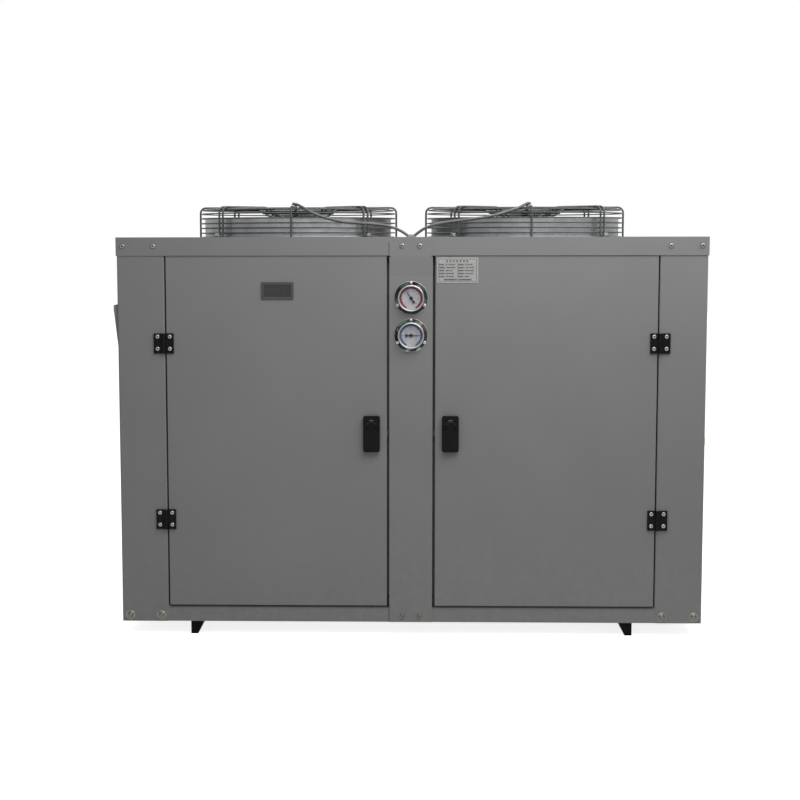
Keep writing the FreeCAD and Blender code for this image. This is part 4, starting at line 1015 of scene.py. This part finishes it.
# Small fittings
def base_bolt_heads():
    """The cabinet's base bolts: a stepped washer and a chamfered hexagon head with a raised rim."""
    washers, heads = Maker(), Maker()
    step = [(11.2, 0), (11.2, 1.0), (10.6, 1.6), (9.4, 1.6), (8.9, 1.1), (8.0, 1.1), (7.4, 1.6), (0, 1.6)]
    crown = [(7.3, 2.8), (7.1, 3.6), (6.4, 4.9), (5.2, 5.9), (3.6, 6.5), (0, 6.8)]
    for facing in (-1, 1):
        for x in (-BOLT_X[1], -BOLT_X[0], BOLT_X[0], BOLT_X[1]):
            centre, axis = (x, facing * -Y_FRONT, BOLT_Z), (0, facing, 0)
            washers.lathe(step, centre, axis, 40)
            heads.lathe([(7.9, 1.6), (7.9, 2.9), (0, 2.9)], centre, axis, 6, 0.35 + 0.9 * x / BOLT_X[1])
            heads.lathe(crown, centre, axis, 24)
    rings = washers.done("bolt_washers", STAIN, "zinc_steel", smooth=25)
    heads.done("bolt_hexagons", OLIVE, "zinc_steel", smooth=50)
    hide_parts("base_bolts")


def door_top_fold(side):
    """The fold along a door's upper edge."""
    word = SIDES[side]
    fold = Maker()
    near, far = sorted((side * DOOR_IN, side * DOOR_OUT))
    fold.block((near, Y_FRONT, Z_SKIRT - DOOR_GAP - 0.5), (far, Y_FRONT + 14.0, Z_SKIRT - 0.9))
    fold.done("door_top_fold_" + word, PAINT, "grey_paint", word + "_door")


def strip_seams():
    """The dark seams at the middle strip's left edge."""
    seam = Maker()
    left, right = -STRIP_X - 0.8, -STRIP_X - 0.02
    seam.block((left, Y_FRONT - 2.06, Z_SKIRT + 0.3), (right, Y_FRONT - 1.9, STRIP_TOP))
    seam.block((left, Y_FRONT - 0.06, Z_BASE + 1), (right, Y_FRONT + 0.1, Z_RAIL - 0.4))
    seam.done("strip_seams", INK, "black_paint")


def strip_corner_reliefs():
    """Painted shade: small black plates for the dark notches at the foot of the cover's skirt, beside the
    middle strip.
    """
    notch = Maker()
    for side in SIDES:
        near, far = sorted((side * (STRIP_X - 3.2), side * (STRIP_X - 0.05)))
        notch.block((near, SKIRT_Y - 1.56, Z_SKIRT - 2.8), (far, SKIRT_Y - 1.3, Z_SKIRT - 0.1))
    notch.done("strip_corner_reliefs", INK, "black_paint")


def sill_strip():
    """Painted shade: a black rubber strip on the sill that darkens the gap under the doors."""
    strip = Maker()
    for side in SIDES:
        near, far = sorted((side * STRIP_X, side * (DOOR_OUT - 1)))
        strip.block((near, Y_FRONT - 0.25, Z_RAIL - 0.6), (far, Y_FRONT + 14.0, Z_RAIL + 2.5))
    strip.done("sill_strip", RUBBER, "seal_rubber")


def grommet_cap():
    """The sloping rubber cap where both leads enter the cover."""
    cap = Maker()
    y, wide, narrow = GROMMET_Y - 9.15, 10.6, 5.75
    cap.prism([(-wide, y, 0.05), (wide, y, 0.05), (narrow, y, 6.0), (-narrow, y, 6.0)], (0, 0, Z_TOP),
              (0, 18.3, 0))
    cap.done("grommet_cap", GREY_RUBBER, "lead_rubber", bevel=0.4)


def control_box():
    """Lid, screws and cable glands of the control box."""
    low, high = (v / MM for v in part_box("electrical_box"))
    face = low.y - 2.4
    lid = Maker()
    lid.block((low.x + 4, face, low.z + 4), (high.x - 4, low.y, high.z - 4))
    lid.done("control_box_lid", CABINET, "box_paint", bevel=1.2)
    spots = [(x, face, z) for x in (low.x + 16, high.x - 16)
             for z in (low.z + 16, (low.z + high.z) / 2, high.z - 16)]
    screws("control_box_screws", PAN, spots)
    glands = Maker()
    for k in range(4):
        centre = (high.x, low.y + 60, low.z + 60 + 45 * k)
        glands.lathe([(12, 0), (12, 6), (10, 7), (10, 14), (7, 17), (4.5, 17.5)], centre, (1, 0, 0), 12)
    glands.done("control_box_glands", MOULD, "black_plastic", smooth=30)


def compressor_seam():
    """The weld where the compressor's cap meets its shell."""
    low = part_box("compressor")[0] / MM
    lathed("compressor_seam", [(91.0, -4), (93.2, -3), (94.0, 0), (93.2, 3), (91.0, 4)],
           (COMP_X, COMP_Y, low.z + 290.0), UPWARD, 64, BLACK_PAINT, "black_paint", smooth=60)


base_bolt_heads()
for side in SIDES:
    door_top_fold(side)
strip_seams()
strip_corner_reliefs()
sill_strip()
grommet_cap()
control_box()
compressor_seam()


# CAD nodes with their materials
dress(PAINT, 0.35, "base_tray", "front_post_left", "front_post_right", "rear_post_left", "rear_post_right",
      "centre_post", "head_rail", "sill_rail", "right_door")
dress(PAINT, 1.3, "top_cover", segments=3)
dress(DOOR_PAINT, 0.35, "left_door")
dress(SKID, 0.6, "skid_rails")
dress(SEAL, 0, "door_seals")
dress(GRIP, 0.6, "side_grip")
dress(GALV, 0.4, "fan_shrouds", "box_supports")
dress(BLACK_PAINT, 0.6, "fan_motors")
dress(MOULD, 0.8, "lead_glands")
dress(COPPER, 1.0, "coil_headers")
dress(BLACK_PAINT, 3.0, "compressor")
dress(RUBBER, 0.8, "compressor_mounts")
dress(MOULD, 1.0, "terminal_box")
dress(VESSEL, 4.0, "liquid_receiver", "suction_accumulator")
dress(BLUE, 2.0, "filter_drier")
dress(COPPER, 0, "discharge_pipe", "suction_pipe", "liquid_pipe")
dress(BRASS, 0.8, "service_valves")
dress(CABINET, 0.6, "electrical_box")
dress(BLACK, 0.35, "hinge_frame_leaves", "left_hinge_leaves", "right_hinge_leaves")
dress(BLACK, 0.7, "left_latch_case", "right_latch_case")
dress(BLACK, 0.9, "left_paddle", "right_paddle", segments=3)
dress(ZINC, 0.3, "hinge_pins")
# Painted shade: latch bolts and pins near black, to stay dark in the door gaps
dress(LATCH_SHADE_STEEL, 0.3, "left_latch_bolt", "right_latch_bolt", "left_latch_pin", "right_latch_pin")
dress(WHITE, 0, "gauge_dials")
dress(GLASS, 0, "gauge_lenses")
dress(INK, 0.1, "gauge_needle_high", "gauge_needle_low")
dress(BEZEL, 0.6, "controller_bezel")
dress(SCREEN, 0.2, "controller_screen")
dress(PLATE, 0.2, "nameplate")
dress(ROTOR, 0.8, "impeller_left", "impeller_right")


# Stage, light and camera
def shown_rays(tree):
    """1 for the rays that show the background: the camera's, and those by gloss or through glass."""
    path = node(tree, "ShaderNodeLightPath")
    seen = path.outputs["Is Camera Ray"]
    for name in ("Is Glossy Ray", "Is Transmission Ray"):
        seen = maths(tree, "MAXIMUM", seen, path.outputs[name])
    return seen


def pick(tree, hidden, shown):
    """Shows one shader to the rays that show the background and the other to the rest."""
    return node(tree, "ShaderNodeMixShader", n0=shown_rays(tree), n1=hidden.outputs[0], n2=shown.outputs[0])


def stage():
    """A pale floor that keeps the shadow, white to the camera and in reflections."""
    floor = Maker()
    floor.sheet([(-14000, -9000, 0), (14000, -9000, 0), (14000, 16000, 0), (-14000, 16000, 0)])
    data = floor.mesh("studio_floor")
    made = bpy.data.objects.new("studio_floor", data)
    bpy.context.scene.collection.objects.link(made)
    mat, tree, shader = new_material("studio_floor_white")
    feed(tree, shader, Base_Color=(0.62, 0.62, 0.62, 1.0), Roughness=0.9)
    black = node(tree, "ShaderNodeEmission", Strength=0.0)
    glow = node(tree, "ShaderNodeEmission", Strength=0.84)
    both = node(tree, "ShaderNodeAddShader", n0=shader.outputs[0], n1=pick(tree, black, glow).outputs[0])
    feed(tree, tree.nodes["Material Output"], Surface=both.outputs[0])
    data.materials.append(mat)


def surround():
    """White to the camera, softer for the light it gives."""
    world = bpy.data.worlds.new("surround")
    bpy.context.scene.world = world
    world.use_nodes = True
    tree = world.node_tree
    tree.nodes.clear()
    white = (1.0, 1.0, 1.0, 1.0)
    light = node(tree, "ShaderNodeBackground", Color=white, Strength=0.46)
    shown = node(tree, "ShaderNodeBackground", Color=white, Strength=1.0)
    node(tree, "ShaderNodeOutputWorld", Surface=pick(tree, light, shown).outputs[0])


def lamp(name, where, aim, size, power):
    """A soft rectangular lamp."""
    data = bpy.data.lights.new(name, "AREA")
    data.shape = "RECTANGLE"
    data.size, data.size_y = size
    data.energy = power
    made = bpy.data.objects.new(name, data)
    bpy.context.scene.collection.objects.link(made)
    made.location = where
    made.rotation_euler = (Vector(aim) - Vector(where)).to_track_quat("-Z", "Y").to_euler()
    made.visible_camera = False


def camera():
    """The photograph's camera, found from the object's edges and corners."""
    data = bpy.data.cameras.new("photo_camera")
    data.sensor_width = 36.0
    data.lens = 71.416
    data.shift_x = 0.0406
    made = bpy.data.objects.new("photo_camera", data)
    bpy.context.scene.collection.objects.link(made)
    turn = Matrix.Rotation(math.radians(1.561), 4, "Z") @ Matrix.Rotation(math.radians(-5.872), 4, "X")
    turn = turn @ Matrix.Rotation(math.radians(0.086), 4, "Y") @ Matrix.Rotation(math.radians(90), 4, "X")
    made.matrix_world = Matrix.Translation((-0.0009, -4.1696, 0.9605)) @ turn
    bpy.context.scene.camera = made


stage()
surround()
lamp("front_lamp", (0.6, -0.9, 1.7), (0.2, -0.4, 0.7), (2.4, 1.0), 38.0)
lamp("back_lamp", (-0.6, 1.5, 2.4), (0.0, 0.3, 0.6), (2.4, 1.2), 34.0)
camera()
bpy.context.scene.view_settings.view_transform = "Standard"
